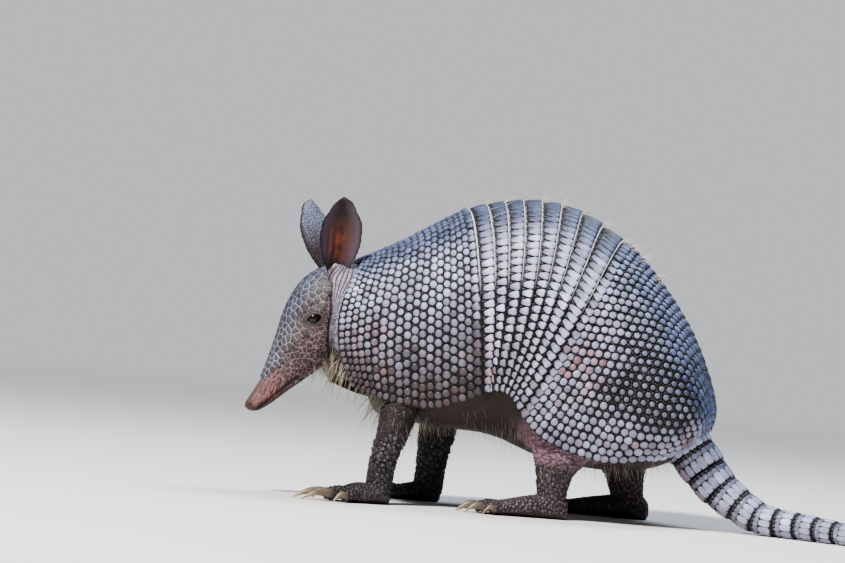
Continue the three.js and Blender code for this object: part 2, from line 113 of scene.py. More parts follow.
def squareTo(out, way):  # the part of a way that lies square to another
    return unit(way - out * (way * out).sum(1, keepdims=True))


def summed(steps):  # how far along a line each of its points lies
    return np.concatenate([[0], np.cumsum(steps)])


def spread(middle, by, count, low, high):  # random numbers about a middle one
    return np.clip(random.normal(middle, by, count), low, high)


def lumps(points, scale=1.0):  # a slow noise
    return np.array([noise.noise(v) for v in (points * scale).tolist()])


def spineAt(x):  # the spine's heading, and how far it has gone sideways
    away = (x - spine["middle"]) / spine["reach"]
    turn = np.where(away < 0, spine["headTurn"], spine["rumpTurn"])
    return -turn * np.tanh(away), -turn * spine["reach"] * np.log(np.cosh(away))


def curveSideways(p):  # the spine's own curve carries every piece
    heading, side = spineAt(p[..., 0])
    y = p[..., 1]
    return stack(p[..., 0] - np.sin(heading) * y, side + np.cos(heading) * y, p[..., 2])


def straighten(p):  # the way back from curveSideways
    x, y = p[..., 0], p[..., 1]
    for _ in range(8):
        heading, side = spineAt(x)
        y = (p[..., 1] - side) / np.cos(heading)
        x = p[..., 0] + np.sin(heading) * y
    return stack(x, y, p[..., 2])


def slopes(surface, u, v):  # the ways along and across a surface
    step = 1e-3
    return surface(u + step, v) - surface(u - step, v), surface(u, v + step) - surface(u, v - step)


def offsetFrom(surface, u, v, distance):  # out along the surface's normal
    return surface(u, v) + unit(np.cross(*slopes(surface, u, v))) * np.asarray(distance)[..., None]


def shellPoint(t, side):  # station, and side from -1 at the left edge over the ridge to 1
    at = {name: through(values, t) for name, values in body.items()}
    angle = np.abs(side) * shell["marginAngle"]
    drop = (1 - np.cos(angle)) / (1 - np.cos(shell["marginAngle"]))
    x = mix(at["ridgeX"], at["marginX"], drop) + 4 * at["bow"] * drop * (1 - drop)
    y = np.sign(side) * at["half"] * np.abs(np.sin(angle)) ** shell["fullness"]
    return stack(x, y, mix(at["ridgeZ"], at["marginZ"], drop))


headLength = math.dist(head["from"], head["to"])
headForward = [(b - a) / headLength for a, b in zip(head["from"], head["to"])]
headUp = [headForward[1], -headForward[0]]


def headPoint(along, up, y):
    x = head["from"][0] + headForward[0] * along + headUp[0] * up
    z = head["from"][1] + headForward[1] * along + headUp[1] * up
    return stack(x, y, z)


# the frame is centred on its own box, and an eyeball shows by how much
eyeSpot = curveSideways(headPoint(eye["along"], eye["up"], -eye["out"]))
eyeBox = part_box("eye_left")
mm = 0.001
shift = np.array([
    eyeBox[0].x / mm + eye["radius"] - eyeSpot[0],
    (eyeBox[0].y + eyeBox[1].y) / 2 / mm - eyeSpot[1],
    0,
])


def place(p):  # from the body's millimetres to the scene
    return (curveSideways(p) + shift) * mm


def shellAt(t, side, lift=0.0):
    return place(offsetFrom(shellPoint, t, side, lift))


# making pieces


def link(name, mesh, material=None, slot=None, replaced=()):
    piece = bpy.data.objects.new(name, mesh)
    scene.collection.objects.link(piece)
    if material:
        mesh.materials.append(material)
    if slot:
        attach(piece, "root")
    if replaced:
        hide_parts(*replaced)
    return piece


def toMesh(bm, name, outward=True):
    if outward:
        bmesh.ops.recalc_face_normals(bm, faces=bm.faces[:])
    mesh = bpy.data.meshes.new(name)
    bm.to_mesh(mesh)
    bm.free()
    mesh.shade_smooth()
    return mesh


def triangles(mesh):
    return sum(len(face.vertices) - 2 for face in mesh.polygons)


def setPoints(verts, places):
    for vert, co in zip(verts, places):
        vert.co = co


def gridPlaces(rows, columns):  # u and v of an open sheet's points
    flat = np.array(list(np.ndindex(columns + 1, rows + 1)), float)
    return flat[:, 1] / rows, flat[:, 0] / columns


def treeOf(points):
    tree = kdtree.KDTree(len(points))
    for i, spot in enumerate(points):
        tree.insert(spot, i)
    tree.balance()
    return tree


def feed(links, socket, value):  # wires a socket, or sets it
    if isinstance(value, bpy.types.NodeSocket):
        links.new(value, socket)
    elif isinstance(value, tuple) and len(value) == 3 and socket.type == "RGBA":
        socket.default_value = (*value, 1)
    else:
        socket.default_value = value


def addSheet(bm, surface, rows, columns, closed=False, ends=False):
    # a grid laid on a surface, where u runs along its rows and v across; a closed one is a tube
    made = bmesh.ops.create_grid(bm, x_segments=rows, y_segments=columns, size=0.5)["verts"]
    flat = np.array([v.co for v in made]) + 0.5
    setPoints(made, surface(flat[:, 0], flat[:, 1]))
    if closed:
        seam = [v for v, uv in zip(made, flat) if uv[1] < 1e-6 or uv[1] > 1 - 1e-6]
        bmesh.ops.remove_doubles(bm, verts=seam, dist=1e-7)
        made = [v for v in made if v.is_valid]
    if ends:
        rim = {e for v in made for e in v.link_edges if e.is_boundary}
        bmesh.ops.holes_fill(bm, edges=list(rim), sides=0)
    return made


def applied(piece):  # the piece's modifiers become its mesh
    graph = bpy.context.evaluated_depsgraph_get()
    graph.update()
    mesh = bpy.data.meshes.new_from_object(piece.evaluated_get(graph))
    old = piece.data
    piece.modifiers.clear()
    piece.data = mesh
    bpy.data.meshes.remove(old)
    return mesh


def addAttribute(mesh, name, kind, values):
    attribute = mesh.attributes.new(name, kind, "POINT")
    key = {"FLOAT": "value", "FLOAT_VECTOR": "vector", "FLOAT_COLOR": "color"}[kind]
    attribute.data.foreach_set(key, np.ascontiguousarray(values, dtype=np.float32).ravel())


def template(name, sides, rings, outline=None, tip=None, front=1.0):
    # a boss from rings of (radius, height, crown); outline bends its plan, tip its height, front its crown
    bm = bmesh.new()
    crown = bm.verts.layers.float.new("crown")
    patch = bm.verts.layers.float_vector.new("patch")
    edge = bmesh.ops.create_circle(bm, segments=sides, radius=1)["verts"]
    loop = list({e for v in edge for e in v.link_edges})
    for i, (radius, height, share) in enumerate(rings):
        if i:
            grown = bmesh.ops.extrude_edge_only(bm, edges=loop)["geom"]
            edge = [g for g in grown if isinstance(g, bmesh.types.BMVert)]
            loop = [g for g in grown if isinstance(g, bmesh.types.BMEdge)]
        for vert in edge:
            angle = math.atan2(vert.co.y, vert.co.x)
            vert.co = (radius * math.cos(angle), radius * math.sin(angle), height)
            vert[crown] = share
    bmesh.ops.contextual_create(bm, geom=loop)
    bmesh.ops.recalc_face_normals(bm, faces=bm.faces[:])
    for vert in bm.verts:
        vert[patch] = (vert.co.x, vert.co.y, 0)
        vert[crown] *= float(mix(front, 1, smooth(-0.4, 0.2, vert.co.x)))
        if outline:
            vert.co.x, vert.co.y = outline(vert.co.x, vert.co.y)
        if tip:
            vert.co = tip(vert.co)
    return bpy.data.objects.new(name, toMesh(bm, name, False))


patchSize = 0.003  # how much of the unwrap one scute or hair takes


def scatterNodes(templates, material):
    tree = bpy.data.node_groups.new("scatter", "GeometryNodeTree")
    for way in ("INPUT", "OUTPUT"):
        tree.interface.new_socket("Geometry", in_out=way, socket_type="NodeSocketGeometry")

    def add(kind, inputs, **settings):  # a node with its settings, and its inputs set or wired
        node = tree.nodes.new(kind)
        for key, value in settings.items():
            setattr(node, key, value)
        for key, value in inputs.items():
            feed(tree.links, node.inputs[key], value)
        return node.outputs

    def named(name, kind="FLOAT_VECTOR"):
        return add("GeometryNodeInputNamedAttribute", {"Name": name}, data_type=kind)["Attribute"]

    spots = add("NodeGroupInput", {})[0]
    axes = {"Primary Axis": named("facing"), "Secondary Axis": named("heading")}
    turn = add("FunctionNodeAxesToRotation", axes, primary_axis="Z", secondary_axis="X")["Rotation"]
    join = tree.nodes.new("GeometryNodeJoinGeometry")
    for kind, shape in enumerate(templates):
        same = add("FunctionNodeCompare", {0: named("kind", "FLOAT"), 1: float(kind)}, operation="EQUAL")
        put = add("GeometryNodeInstanceOnPoints", {
            "Points": spots, "Selection": same["Result"], "Rotation": turn, "Scale": named("size"),
            "Instance": add("GeometryNodeObjectInfo", {"Object": shape})["Geometry"],
        })
        tree.links.new(put["Instances"], join.inputs["Geometry"])
    real = add("GeometryNodeRealizeInstances", {"Geometry": join.outputs["Geometry"]})[0]
    spread = add("ShaderNodeVectorMath", {0: named("patch"), 1: (patchSize,) * 3, 2: named("root")},
                 operation="MULTIPLY_ADD")["Vector"]
    unwrap = add("GeometryNodeStoreNamedAttribute", {"Geometry": real, "Name": "OFBake", "Value": spread},
                 data_type="FLOAT2", domain="CORNER")[0]
    soft = add("GeometryNodeSetShadeSmooth", {"Geometry": unwrap})[0]
    finish = add("GeometryNodeSetMaterial", {"Geometry": soft, "Material": material})[0]
    add("NodeGroupOutput", {0: finish})
    return tree


def scatter(name, templates, spots, material, slot):
    # spots are groups of arrays: at, facing, heading, size, root, kind and the looks' own values
    groups = [g for g in spots if len(g["at"])]
    every = {key: np.concatenate([g[key] for g in groups]) for key in groups[0]}
    mesh = bpy.data.meshes.new(name)
    mesh.from_pydata(every["at"].tolist(), [], [])
    for key, values in every.items():
        if key != "at":
            addAttribute(mesh, key, "FLOAT" if values.ndim == 1 else "FLOAT_VECTOR", values)
    piece = link(name, mesh, None, slot)
    for shape in templates:
        scene.collection.objects.link(shape)
    piece.modifiers.new("scatter", "NODES").node_group = scatterNodes(templates, material)
    mesh = applied(piece)
    for shape in templates:
        scene.collection.objects.unlink(shape)
    for key in ("facing", "heading", "size", "root", "kind", "patch"):
        if key in mesh.attributes:
            mesh.attributes.remove(mesh.attributes[key])
    print(name, len(every["at"]), "spots", triangles(mesh), "triangles")


def spotsOn(surface, u, v, size, kind, root, spin=0.0, **looks):
    # spots at u and v of a surface, with X along it and Z out of it, and sizes in millimetres
    u, v = np.asarray(u, float), np.asarray(v, float)
    along, across = (unit(way) for way in slopes(surface, u, v))
    facing = unit(np.cross(along, across))
    spin = np.broadcast_to(spin, u.shape)[:, None]
    heading = along * np.cos(spin) + np.cross(facing, along) * np.sin(spin)
    at = surface(u, v)
    spots = {
        "at": at, "facing": facing, "heading": heading,
        "size": np.broadcast_to(np.asarray(size, float), at.shape) * mm,
        "root": stack(*root(u, v), 0 * u), "kind": np.full(len(u), float(kind)),
    }
    return spots | {key: np.broadcast_to(value, u.shape).astype(float) for key, value in looks.items()}


print("stage: helpers ready")

# materials


class Shader:  # a small hand for wiring a material's nodes
    def __init__(self, name, roughness=0.6, **sockets):
        self.material = bpy.data.materials.new(name)
        self.material.use_nodes = True
        self.nodes = self.material.node_tree.nodes
        self.links = self.material.node_tree.links
        self.surface = self.nodes["Principled BSDF"]
        self.surface.inputs["Roughness"].default_value = roughness
        for socket, value in sockets.items():
            self.surface.inputs[socket.replace("_", " ")].default_value = value
        self.coordinates = self.add("ShaderNodeTexCoord").outputs["Object"]

    def add(self, kind, inputs=(), **settings):
        node = self.nodes.new(kind)
        for key, value in settings.items():
            setattr(node, key, value)
        for key, value in dict(inputs).items():
            feed(self.links, node.inputs[key], value)
        return node

    def value(self, name, output="Fac"):  # one of the piece's own attributes
        return self.add("ShaderNodeAttribute", attribute_name=name).outputs[output]

    def stretched(self, stretch):
        if stretch is None:
            return self.coordinates
        return self.add("ShaderNodeMapping", {"Vector": self.coordinates, "Scale": stretch}).outputs[0]

    def noise(self, scale, detail, stretch=None):
        inputs = {"Scale": scale, "Detail": detail, "Roughness": 0.55, "Vector": self.stretched(stretch)}
        return self.add("ShaderNodeTexNoise", inputs).outputs["Fac"]

    def toEdge(self, scale):  # distance from the edges of small cells
        inputs = {"Scale": scale, "Vector": self.coordinates}
        return self.add("ShaderNodeTexVoronoi", inputs, feature="DISTANCE_TO_EDGE").outputs["Distance"]

    def math(self, operation, a, b=0.0):
        return self.add("ShaderNodeMath", {0: a, 1: b}, operation=operation).outputs[0]

    def between(self, value, low, high, toLow=0.0, toHigh=1.0):
        inputs = {"Value": value, "From Min": low, "From Max": high, "To Min": toLow, "To Max": toHigh}
        return self.add("ShaderNodeMapRange", inputs).outputs["Result"]

    def blend(self, share, a, b, mode="MIX"):
        inputs = {0: share, 6: a, 7: b}  # a Mix node has these for colours
        return self.add("ShaderNodeMix", inputs, data_type="RGBA", blend_type=mode).outputs[2]

    def toned(self, colour):  # times each scute's own light
        tone = self.value("tone")
        grey = self.add("ShaderNodeCombineColor", {0: tone, 1: tone, 2: tone}).outputs[0]
        return self.blend(1.0, colour, grey, "MULTIPLY")

    def bump(self, height, distance, strength=1.0):
        inputs = {"Height": height, "Distance": distance, "Strength": strength}
        return self.add("ShaderNodeBump", inputs).outputs["Normal"]

    def finish(self, colour=None, roughness=None, normal=None):
        for name, value in (("Base Color", colour), ("Roughness", roughness), ("Normal", normal)):
            if value is not None:
                feed(self.links, self.surface.inputs[name], value)
        return self.material


# armour: plates with their scutes

horn = {
    # groove and side: partly the dark skin between scutes, partly painted shade in the grooves and on the
    # dome sides
    "groove": (0.012, 0.009, 0.009), "side": (0.048, 0.040, 0.046), "top": (0.54, 0.585, 0.80),
    # backGroove and backTop: a painted reflection of blue sky with painted shade, by the ridge
    "backGroove": (0.012, 0.016, 0.036), "backTop": (0.142, 0.188, 0.35),
    # lowTop: browner tops low on the flanks, darkened with painted shade where the shell turns down
    "lowTop": (0.078, 0.056, 0.055), "blush": (0.36, 0.20, 0.22), "roughness": 0.42,
    "mottle": (0.45, 0.44, 0.46), "worn": (0.50, 0.48, 0.50),
}


def hornMaterial():
    # crown: 0 in the grooves to 1 on top, and the dark grooves and dome sides are partly painted shade;
    # tone: each scute's own light; back: a painted blue sky reflection and painted shade by the ridge; low:
    # browner tops with painted shade low on the flanks; blush: pinkish; back, low and blush are set by
    # where it lies
    s = Shader("hornScutes", horn["roughness"], Specular_IOR_Level=0.5)
    back, mottle, grain = s.value("back"), s.noise(420, 4), s.noise(1900, 2)
    # low on the flanks the tops turn browner and take painted shade
    top = s.blend(s.value("low"), horn["top"], horn["lowTop"])
    top = s.blend(s.value("blush"), top, horn["blush"])
    # by the ridge, tops and grooves take a painted blue sky reflection and painted shade
    top = s.blend(back, top, horn["backTop"])
    top = s.blend(0.55, top, s.blend(s.between(mottle, 0.3, 0.7), horn["mottle"], (1, 1, 1)), "MULTIPLY")
    groove = s.blend(back, horn["groove"], horn["backGroove"])
    height = s.math("ADD", s.value("crown"), s.between(grain, 0.3, 0.7, -0.16, 0.16))
    # the lower a point sits on its scute, the darker: partly dark joints, partly painted shade
    colour = s.blend(s.between(height, 0.05, 0.55), groove, horn["side"])
    colour = s.toned(s.blend(s.between(height, 0.45, 0.95), colour, top))
    worn = s.blend(s.between(s.noise(48, 3), 0.36, 0.62), horn["worn"], (1, 1, 1))
    colour = s.blend(0.75, colour, worn, "MULTIPLY")
    low, high = horn["roughness"] - 0.08, horn["roughness"] + 0.2
    rough = s.between(s.math("ADD", mottle, grain), 0.7, 1.3, low, high)
    normal = s.bump(s.math("ADD", s.math("MULTIPLY", mottle, 2.0), grain), 0.00025, 0.55)
    return s.finish(colour, rough, normal)


def plateMaterial():
    s = Shader("hornPlate", 0.6)
    back, fine, mottle = s.value("back"), s.toEdge(900), s.noise(300, 4)
    # by the ridge the plate takes a painted blue sky reflection and painted shade
    dark = s.blend(back, (0.014, 0.011, 0.010), (0.025, 0.030, 0.048))
    light = s.blend(back, (0.032, 0.026, 0.027), (0.038, 0.048, 0.08))
    # the plate shows between the scutes, and its near-black colour is partly painted shade in those grooves
    colour = s.blend(s.between(fine, 0.02, 0.22), dark, s.blend(mottle, dark, light))
    rim = s.blend(s.between(mottle, 0.35, 0.65), (0.47, 0.46, 0.50), (0.76, 0.76, 0.80))
    colour = s.blend(s.between(s.value("crown"), 0.35, 0.7), colour, rim)
    return s.finish(colour, s.between(mottle, 0.3, 0.7, 0.5, 0.72), s.bump(fine, 0.0004, 0.7))


def plateSheet(name, tRange, rows, columns, lift, looks, replaced):
    # one curved plate; lift(u) is how far its outside stands off the shell's outline, front to rear
    def surface(u, v):
        return shellAt(mix(*tRange, u), 2 * v - 1, lift(u, np.abs(2 * v - 1)))

    bm = bmesh.new()
    crown, back = bm.verts.layers.float.new("crown"), bm.verts.layers.float.new("back")
    made = addSheet(bm, surface, rows, columns)
    u, v = gridPlaces(rows, columns)
    for vert, c, b in zip(made, *looks(u, np.abs(2 * v - 1))):
        vert[crown], vert[back] = c, b
    bmesh.ops.recalc_face_normals(bm, faces=bm.faces[:])
    bmesh.ops.solidify(bm, geom=bm.faces[:], thickness=(shell["thickness"] - shell["spared"]) * mm)
    link(name, toMesh(bm, name, False), plateHorn, "shell", replaced)


hornScutes = hornMaterial()
plateHorn = plateMaterial()
print("stage: armour materials")


def shellRoot(t, side):  # where a scute's patch lies on the shell's own unwrap
    return 0.05 + 0.9 * t / shell["end"], 0.5 + 0.45 * side


def skySheenOnBack(side, t=0.0):  # where the scutes get a painted reflection of blue sky and painted shade: a strip along the ridge, which widens over the rump
    edge = 0.34 + 0.20 * smooth(7.4, 10.5, t)
    return smooth(edge + 0.12, edge - 0.14, np.abs(side))


def rimmed(lip, light=1.0):  # crown of a plate: its rear lip is pale, most of all near the ridge
    def looks(u, side):
        return light * smooth(lip, lip + 0.4 * (1 - lip), u) * smooth(0.75, 0.4, side), skySheenOnBack(side) * 0.8
    return looks


shieldLooks = {
    "sunk": 1.0, "scute": 1.4, "grain": 0.84, "tilt": 0.17, "across": 1.06, "long": 1.12, "longByBand": 1.3,
    "uneven": 0.055, "shifted": 0.04, "turned": 0.12,
}


def shieldLift(u, side):  # the plate lies below its scutes' tops, and its rear edge turns up to them
    lip = np.maximum(smooth(0.985, 0.995, u), smooth(0.985, 0.997, side))
    return -shieldLooks["sunk"] * (1 - 0.6 * lip) - 0.5 * smooth(0.02, 0.0, u)


def hexed(x, y):  # a round plan drawn a little towards six sides
    return x * (1 + 0.10 * abs(y)), y


def squared(front, rear, power, long, wide, drawn, start=0.0):
    # a plan with corners at its front and rear, drawn in ahead of its start
    def outline(x, y):
        corner = 1 + (rear if x > 0 else front) * abs(math.sin(2 * math.atan2(y, x))) ** power
        return long * x * corner, wide * y * corner * (1 - drawn * max(start - x, 0))
    return outline


def wedge(x, y):  # wide at the front and pointed at the rear
    return x, y * (0.9 - 1.3 * x)


dome = [(0.5, -0.4, 0), (0.49, 0.12, 0.1), (0.46, 0.5, 0.45), (0.38, 0.8, 0.9), (0.2, 0.98, 1)]
roundScute = template("roundScute", 9, dome, hexed)
grain = template("grain", 6, [(0.5, -0.4, 0), (0.3, 0.9, 0.55)])
slab = [(0.5, -0.4, 0), (0.49, 0.3, 0.2), (0.45, 0.75, 0.75), (0.32, 1, 1)]
bandScute = template("bandScute", 16, slab, squared(0.30, 0.30, 2, 0.97, 0.99, 0.8, 0.15), front=0.62)
bandWedge = template("bandWedge", 8, [(0.5, -0.4, 0), (0.44, 0.6, 0.35), (0.25, 0.9, 0.6)], wedge)


def rowPlaces(t, pitch, before):
    # scutes of one cross row, half a step off those of the row before, whose middle scute is given
    count = 260
    sides = np.linspace(0, 1, count)
    line = shellAt(np.full(count, float(t)), sides) / mm
    run = summed(length(np.diff(line, axis=0)))
    middle = run[count // 2] if before is None else run[np.argmin(length(line - before))]
    middle += pitch / 2
    below = max(1, round((run[-1] - middle) / pitch - 0.5))
    top = pitch * (0.5 if 0.25 < middle / pitch % 1 < 0.75 else 1.0)  # two beside the ridge, or one on it
    upper = np.linspace(top, middle, max(2, round((middle - top) / pitch) + 1))
    lower = middle + (run[-1] - middle) * np.arange(1, below + 1) / (below + 0.5)
    half = np.interp(np.concatenate([upper, lower]), run, sides)
    ridge = [0.0] if top == pitch else []
    centre = np.array([np.interp(middle, run, line[:, k]) for k in range(3)])
    return np.concatenate([-half[::-1], ridge, half]), centre


def rowStations(t0, t1, pitch):  # where the cross rows lie, by equal steps along the flank
    ts = np.linspace(t0, t1, 400)
    line = shellAt(ts, np.full(400, 0.5)) / mm
    gone = summed(length(np.diff(line, axis=0)) / pitch((ts[1:] + ts[:-1]) / 2))
    count = int(round(gone[-1]))
    return np.interp((np.arange(count) + 0.5) * gone[-1] / count, gone, ts)


def onPlate(t, side):
    return shellAt(t, side, -shieldLooks["sunk"])


def shieldSpots(t0, t1, pitch, fill, looks):
    s, spots, middle = shieldLooks, [], None
    rows = rowStations(t0, t1, pitch)
    for t, step in zip(rows, np.gradient(rows)):
        across = float(pitch(t)) * s["across"]
        side, middle = rowPlaces(t, across, middle)
        byBand = min(abs(t - shell["bandFrom"]), abs(t - shell["bandTo"])) < 0.2  # drawn as a band's own
        count, t = len(side), np.full(len(side), t)
        long = length(shellAt(t + step / 2, side) - shellAt(t - step / 2, side)) / mm
        sideStep = np.gradient(side)
        full = fill(t, side) * random.normal(1, s["uneven"], count)
        tall = s["scute"] * random.normal(1, 0.08, count)
        pairs = (t, step), (side, sideStep)
        moved = [at + gap * random.normal(0, s["shifted"], count) for at, gap in pairs]
        size = stack(long * full * s["longByBand" if byBand else "long"], across * full, tall)
        spin = random.normal(0, 0 if byBand else s["turned"], count)
        row = spotsOn(onPlate, *moved, size, 2 if byBand else 0, shellRoot, spin=spin, **looks(t, side))
        row["facing"] = unit(row["facing"] - s["tilt"] * row["heading"])  # the rear of each stands up
        spots.append(row)
        for du, dv, share in grainPlaces:
            u, v = t + step * du, side + sideStep * dv
            inside = (np.abs(v) < 0.995) & (u > t0) & (u < t1)
            u, v = u[inside], v[inside]
            wide = across * (share + 0.5 * (0.88 - fill(u, v))) * random.normal(1, 0.15, len(u))
            small = looks(u, v)
            small["tone"] *= random.uniform(0.35, 0.85, len(u))
            size = stack(wide * random.normal(1.15, 0.2, len(u)), wide, s["grain"])
            spin = random.uniform(0, 3, len(u))
            spots.append(spotsOn(onPlate, u, v, size, 1, shellRoot, spin=spin, **small))
    return spots


# where small scales lie about each scute, in steps along and across, and their share of its width
grainPlaces = ((0.34, 0.5, 0.33), (-0.34, 0.5, 0.33), (0, 0.5, 0.2), (0.5, 0.2, 0.2), (0.5, -0.2, 0.2))


def scuteLooks(lowFrom, lowShare, blushes):
    def looks(t, side):
        count, away = len(t), np.abs(side)
        near = sum(share * np.exp(-(((t - at) / wide) ** 2 + ((away - down) / tall) ** 2))
                   for at, down, wide, tall, share in blushes)
        blush = np.clip((near + random.normal(0, 0.16, count)) * random.uniform(0, 1.4, count), 0, 1)
        tone = spread(1, 0.14, count, 0.6, 1.35)
        # low: browner colour with painted shade, more of both the further down the flank
        low = np.clip(smooth(lowFrom, 1.0, away) * lowShare + random.normal(0, 0.08, count), 0, 1)
        return {"tone": tone, "back": skySheenOnBack(side, t), "low": low, "blush": blush}
    return looks


# blush: places where scutes are pinkish, by station, way down, length, height and share
shoulder = {
    "grid": (54, 130), "rim": (0.985, 1.0), "pitch": (3.9, 5.45), "widens": (0, 1.1), "fill": (0.99, 0.96),
    "low": (0.38, 1.0), "blush": [(0.5, 0.72, 0.5, 0.16, 0.45)],
}
rump = {
    "grid": (80, 130), "rim": (0.99, 0.5), "pitch": (5.5, 4.5), "narrows": (10, 12), "fill": (0.96, 0.73),
    "low": (0.4, 0.42), "studsDarker": 0.52,
    "blush": [(7.8, 0.72, 0.8, 0.12, 0.9), (11.2, 0.8, 0.7, 0.15, 0.6), (9.3, 0.9, 0.8, 0.1, 0.4)],
}


def buildShields():
    front, rear = shell["bandFrom"], shell["bandTo"]
    plateSheet("shoulder_plate", (0, front - shell["slit"]), *shoulder["grid"], shieldLift,
               rimmed(*shoulder["rim"]), ["scapular_shield"])
    spots = shieldSpots(0.03, front - 0.06,
                        lambda t: mix(*shoulder["pitch"], smooth(*shoulder["widens"], t)),
                        lambda t, side: mix(*shoulder["fill"], smooth(0.5, 2, t)),
                        scuteLooks(*shoulder["low"], shoulder["blush"]))
    scatter("shoulder_scutes", [roundScute, grain, bandScute], spots, hornScutes, "shell")
    plateSheet("rump_plate", (rear, shell["end"]), *rump["grid"], shieldLift, rimmed(*rump["rim"]),
               ["pelvic_shield"])
    looks = scuteLooks(*rump["low"], rump["blush"])

    def studded(t, side):  # where the rear of the flank has small studs apart
        side = np.abs(side)
        return smooth(7.9, 8.7, t) * smooth(11.2, 10, t) * smooth(0.3, 0.48, side) * smooth(0.85, 0.7, side)

    def rumpLooks(t, side):
        found = looks(t, side)
        found["tone"] *= 1 - rump["studsDarker"] * studded(t, side)
        return found

    spots = shieldSpots(rear + 0.04, 11.93, lambda t: mix(*rump["pitch"], smooth(*rump["narrows"], t)),
                        lambda t, side: mix(*rump["fill"], studded(t, side)), rumpLooks)
    scatter("rump_scutes", [roundScute, grain, bandScute], spots, hornScutes, "shell")


bandLooks = {
    "pitch": 5.5, "lip": 0.972, "long": (0.88, 0.91), "wide": 0.99, "scute": 1.26,
    "light": 1.38, "ridgeLight": 0.74,
}
# dark wedges in the gaps between the scutes: place along the band and across, length, width and light
bandGrains = ((0.3, 0.5, 0.5, 0.34, 0.42), (0.1, 0.5, 0.16, 0.5, 0.6))


def buildBands():
    b, spots, middle = bandLooks, [], None
    looks = scuteLooks(0.6, 0.6, [(3.5, 0.85, 1.2, 0.12, 0.35)])
    span = (shell["bandTo"] - shell["bandFrom"]) / shell["bands"]
    for i in range(shell["bands"]):
        t0 = shell["bandFrom"] + span * i
        t1 = t0 + span - shell["slit"]

        def lift(u, side):
            raised = smooth(b["lip"] - 0.02, b["lip"], u)
            sunk = shieldLooks["sunk"] * (1 - 0.9 * raised) + 0.3 * smooth(0.03, 0.0, u)
            return -shell["step"] * (1 - u) - sunk

        def surface(u, v):
            return shellAt(mix(t0, t1, u), v, -shell["step"] * (1 - u) - shieldLooks["sunk"])

        def root(u, v):
            return shellRoot(mix(t0, t1, u), v)

        rim = rimmed(b["lip"] - 0.01)
        plateSheet(f"band_plate_{i + 1}", (t0, t1), 36, 140, lift, rim, [f"band_{i + 1}"])
        side, middle = rowPlaces((t0 + t1) / 2, b["pitch"], middle)
        count, gap = len(side), np.abs(np.gradient(side))
        side = side + gap * random.normal(0, 0.03, count)
        long = length(shellAt(np.full(count, t1), side) - shellAt(np.full(count, t0), side)) / mm
        share = mix(*b["long"], smooth(0.15, 0.6, np.abs(side))) * random.normal(1, 0.04, count)
        wide = np.minimum(b["pitch"] * gap / np.median(gap), b["pitch"] * 1.1) * b["wide"]
        size = stack(long * share, wide * random.normal(1, 0.03, count), b["scute"])
        at = b["lip"] - share / 2
        found = looks(mix(t0, t1, at), side)
        # scutes by the ridge are dimmed as painted shade, under the painted sky reflection
        found["tone"] *= mix(b["light"], b["ridgeLight"], found["back"])
        spots.append(spotsOn(surface, at, side, size, 0, root, **found))
        for du, dv, longShare, wideShare, tone in bandGrains:
            v = side + gap * dv
            inside = np.abs(v) < 0.985
            v, count = v[inside], inside.sum()
            small = looks(np.full(count, t0), v)
            small["tone"] *= tone
            shorter = smooth(0.9, 0.3, np.abs(v)) * 0.5 + 0.5
            wide = b["pitch"] * wideShare * random.normal(1, 0.1, count)
            size = stack(long[inside] * longShare * shorter, wide, shieldLooks["grain"])
            u = du * shorter + random.normal(0, 0.015, count)
            spots.append(spotsOn(surface, u, v, size, 1, root, **small))
    scatter("band_scutes", [bandScute, bandWedge], spots, hornScutes, "shell")


buildShields()
buildBands()
print("stage: shell")

# the skin: head, neck, trunk, legs and ears in one

neck = {
    "middleX": [-54, -68, -81, -91, -98], "middleZ": [107, 108, 109, 111, 111.5],
    "tall": [40, 37, 35, 33.5, 29], "half": [30, 29, 27.5, 25.5, 21],
    "lean": [0.05, 0.05, 0.02, -0.05, -0.2], "rise": 3.2,
}
trunkReach = (0.9, 11.6)
earShape = {
    "wide": 26, "cup": 6.5, "thick": 1.25, "sunk": 5, "root": 0.24, "reach": 0.86, "start": 0.08,
    "power": 0.8, "tipFrom": 0.62, "tipLeast": 0.015, "unfold": 0.55, "full": 0.82,
}
ears = {
    "left": {"root": (-95, -10.5, 142), "tip": (-2, -11, 43), "faces": (-0.05, -1, -0.1), "long": 46.5},
    "right": {"root": (-97, 10.5, 143.5), "tip": (-12, 8, 38), "faces": (-0.6, 1, 0), "long": 43},
}
earMound = {"reach": (-9, 4.5), "radius": (8.5, 3.6), "flat": 0.85}
frontPaw = [(0, 10.5, 6.5), (-13, 12.5, 5.5), (-21, 11, 4.2)]  # x, half width, half height
hindPaw = [(4, 8.5, 8.5), (-16, 11, 7), (-34, 13, 5), (-42, 11.5, 3.8)]
heel = {"back": 7, "narrower": 0.55, "lower": 0.7}
ankle = (5, 8, 8.5)
frontToes = [  # place across, reach, turn, radius, claw's length
    (-8.5, 7, -0.35, 3.1, 9), (-3, 13, -0.08, 3.9, 19), (3.4, 13, 0.08, 3.9, 20), (8.8, 7.5, 0.35, 3.1, 10),
]
hindToes = [
    (-10.5, 1, -0.32, 2.8, 9), (-5.6, 9, -0.14, 3.4, 13), (0, 11.5, 0, 3.7, 15), (5.7, 9, 0.14, 3.4, 13),
    (10.5, 0, 0.32, 2.8, 8),
]
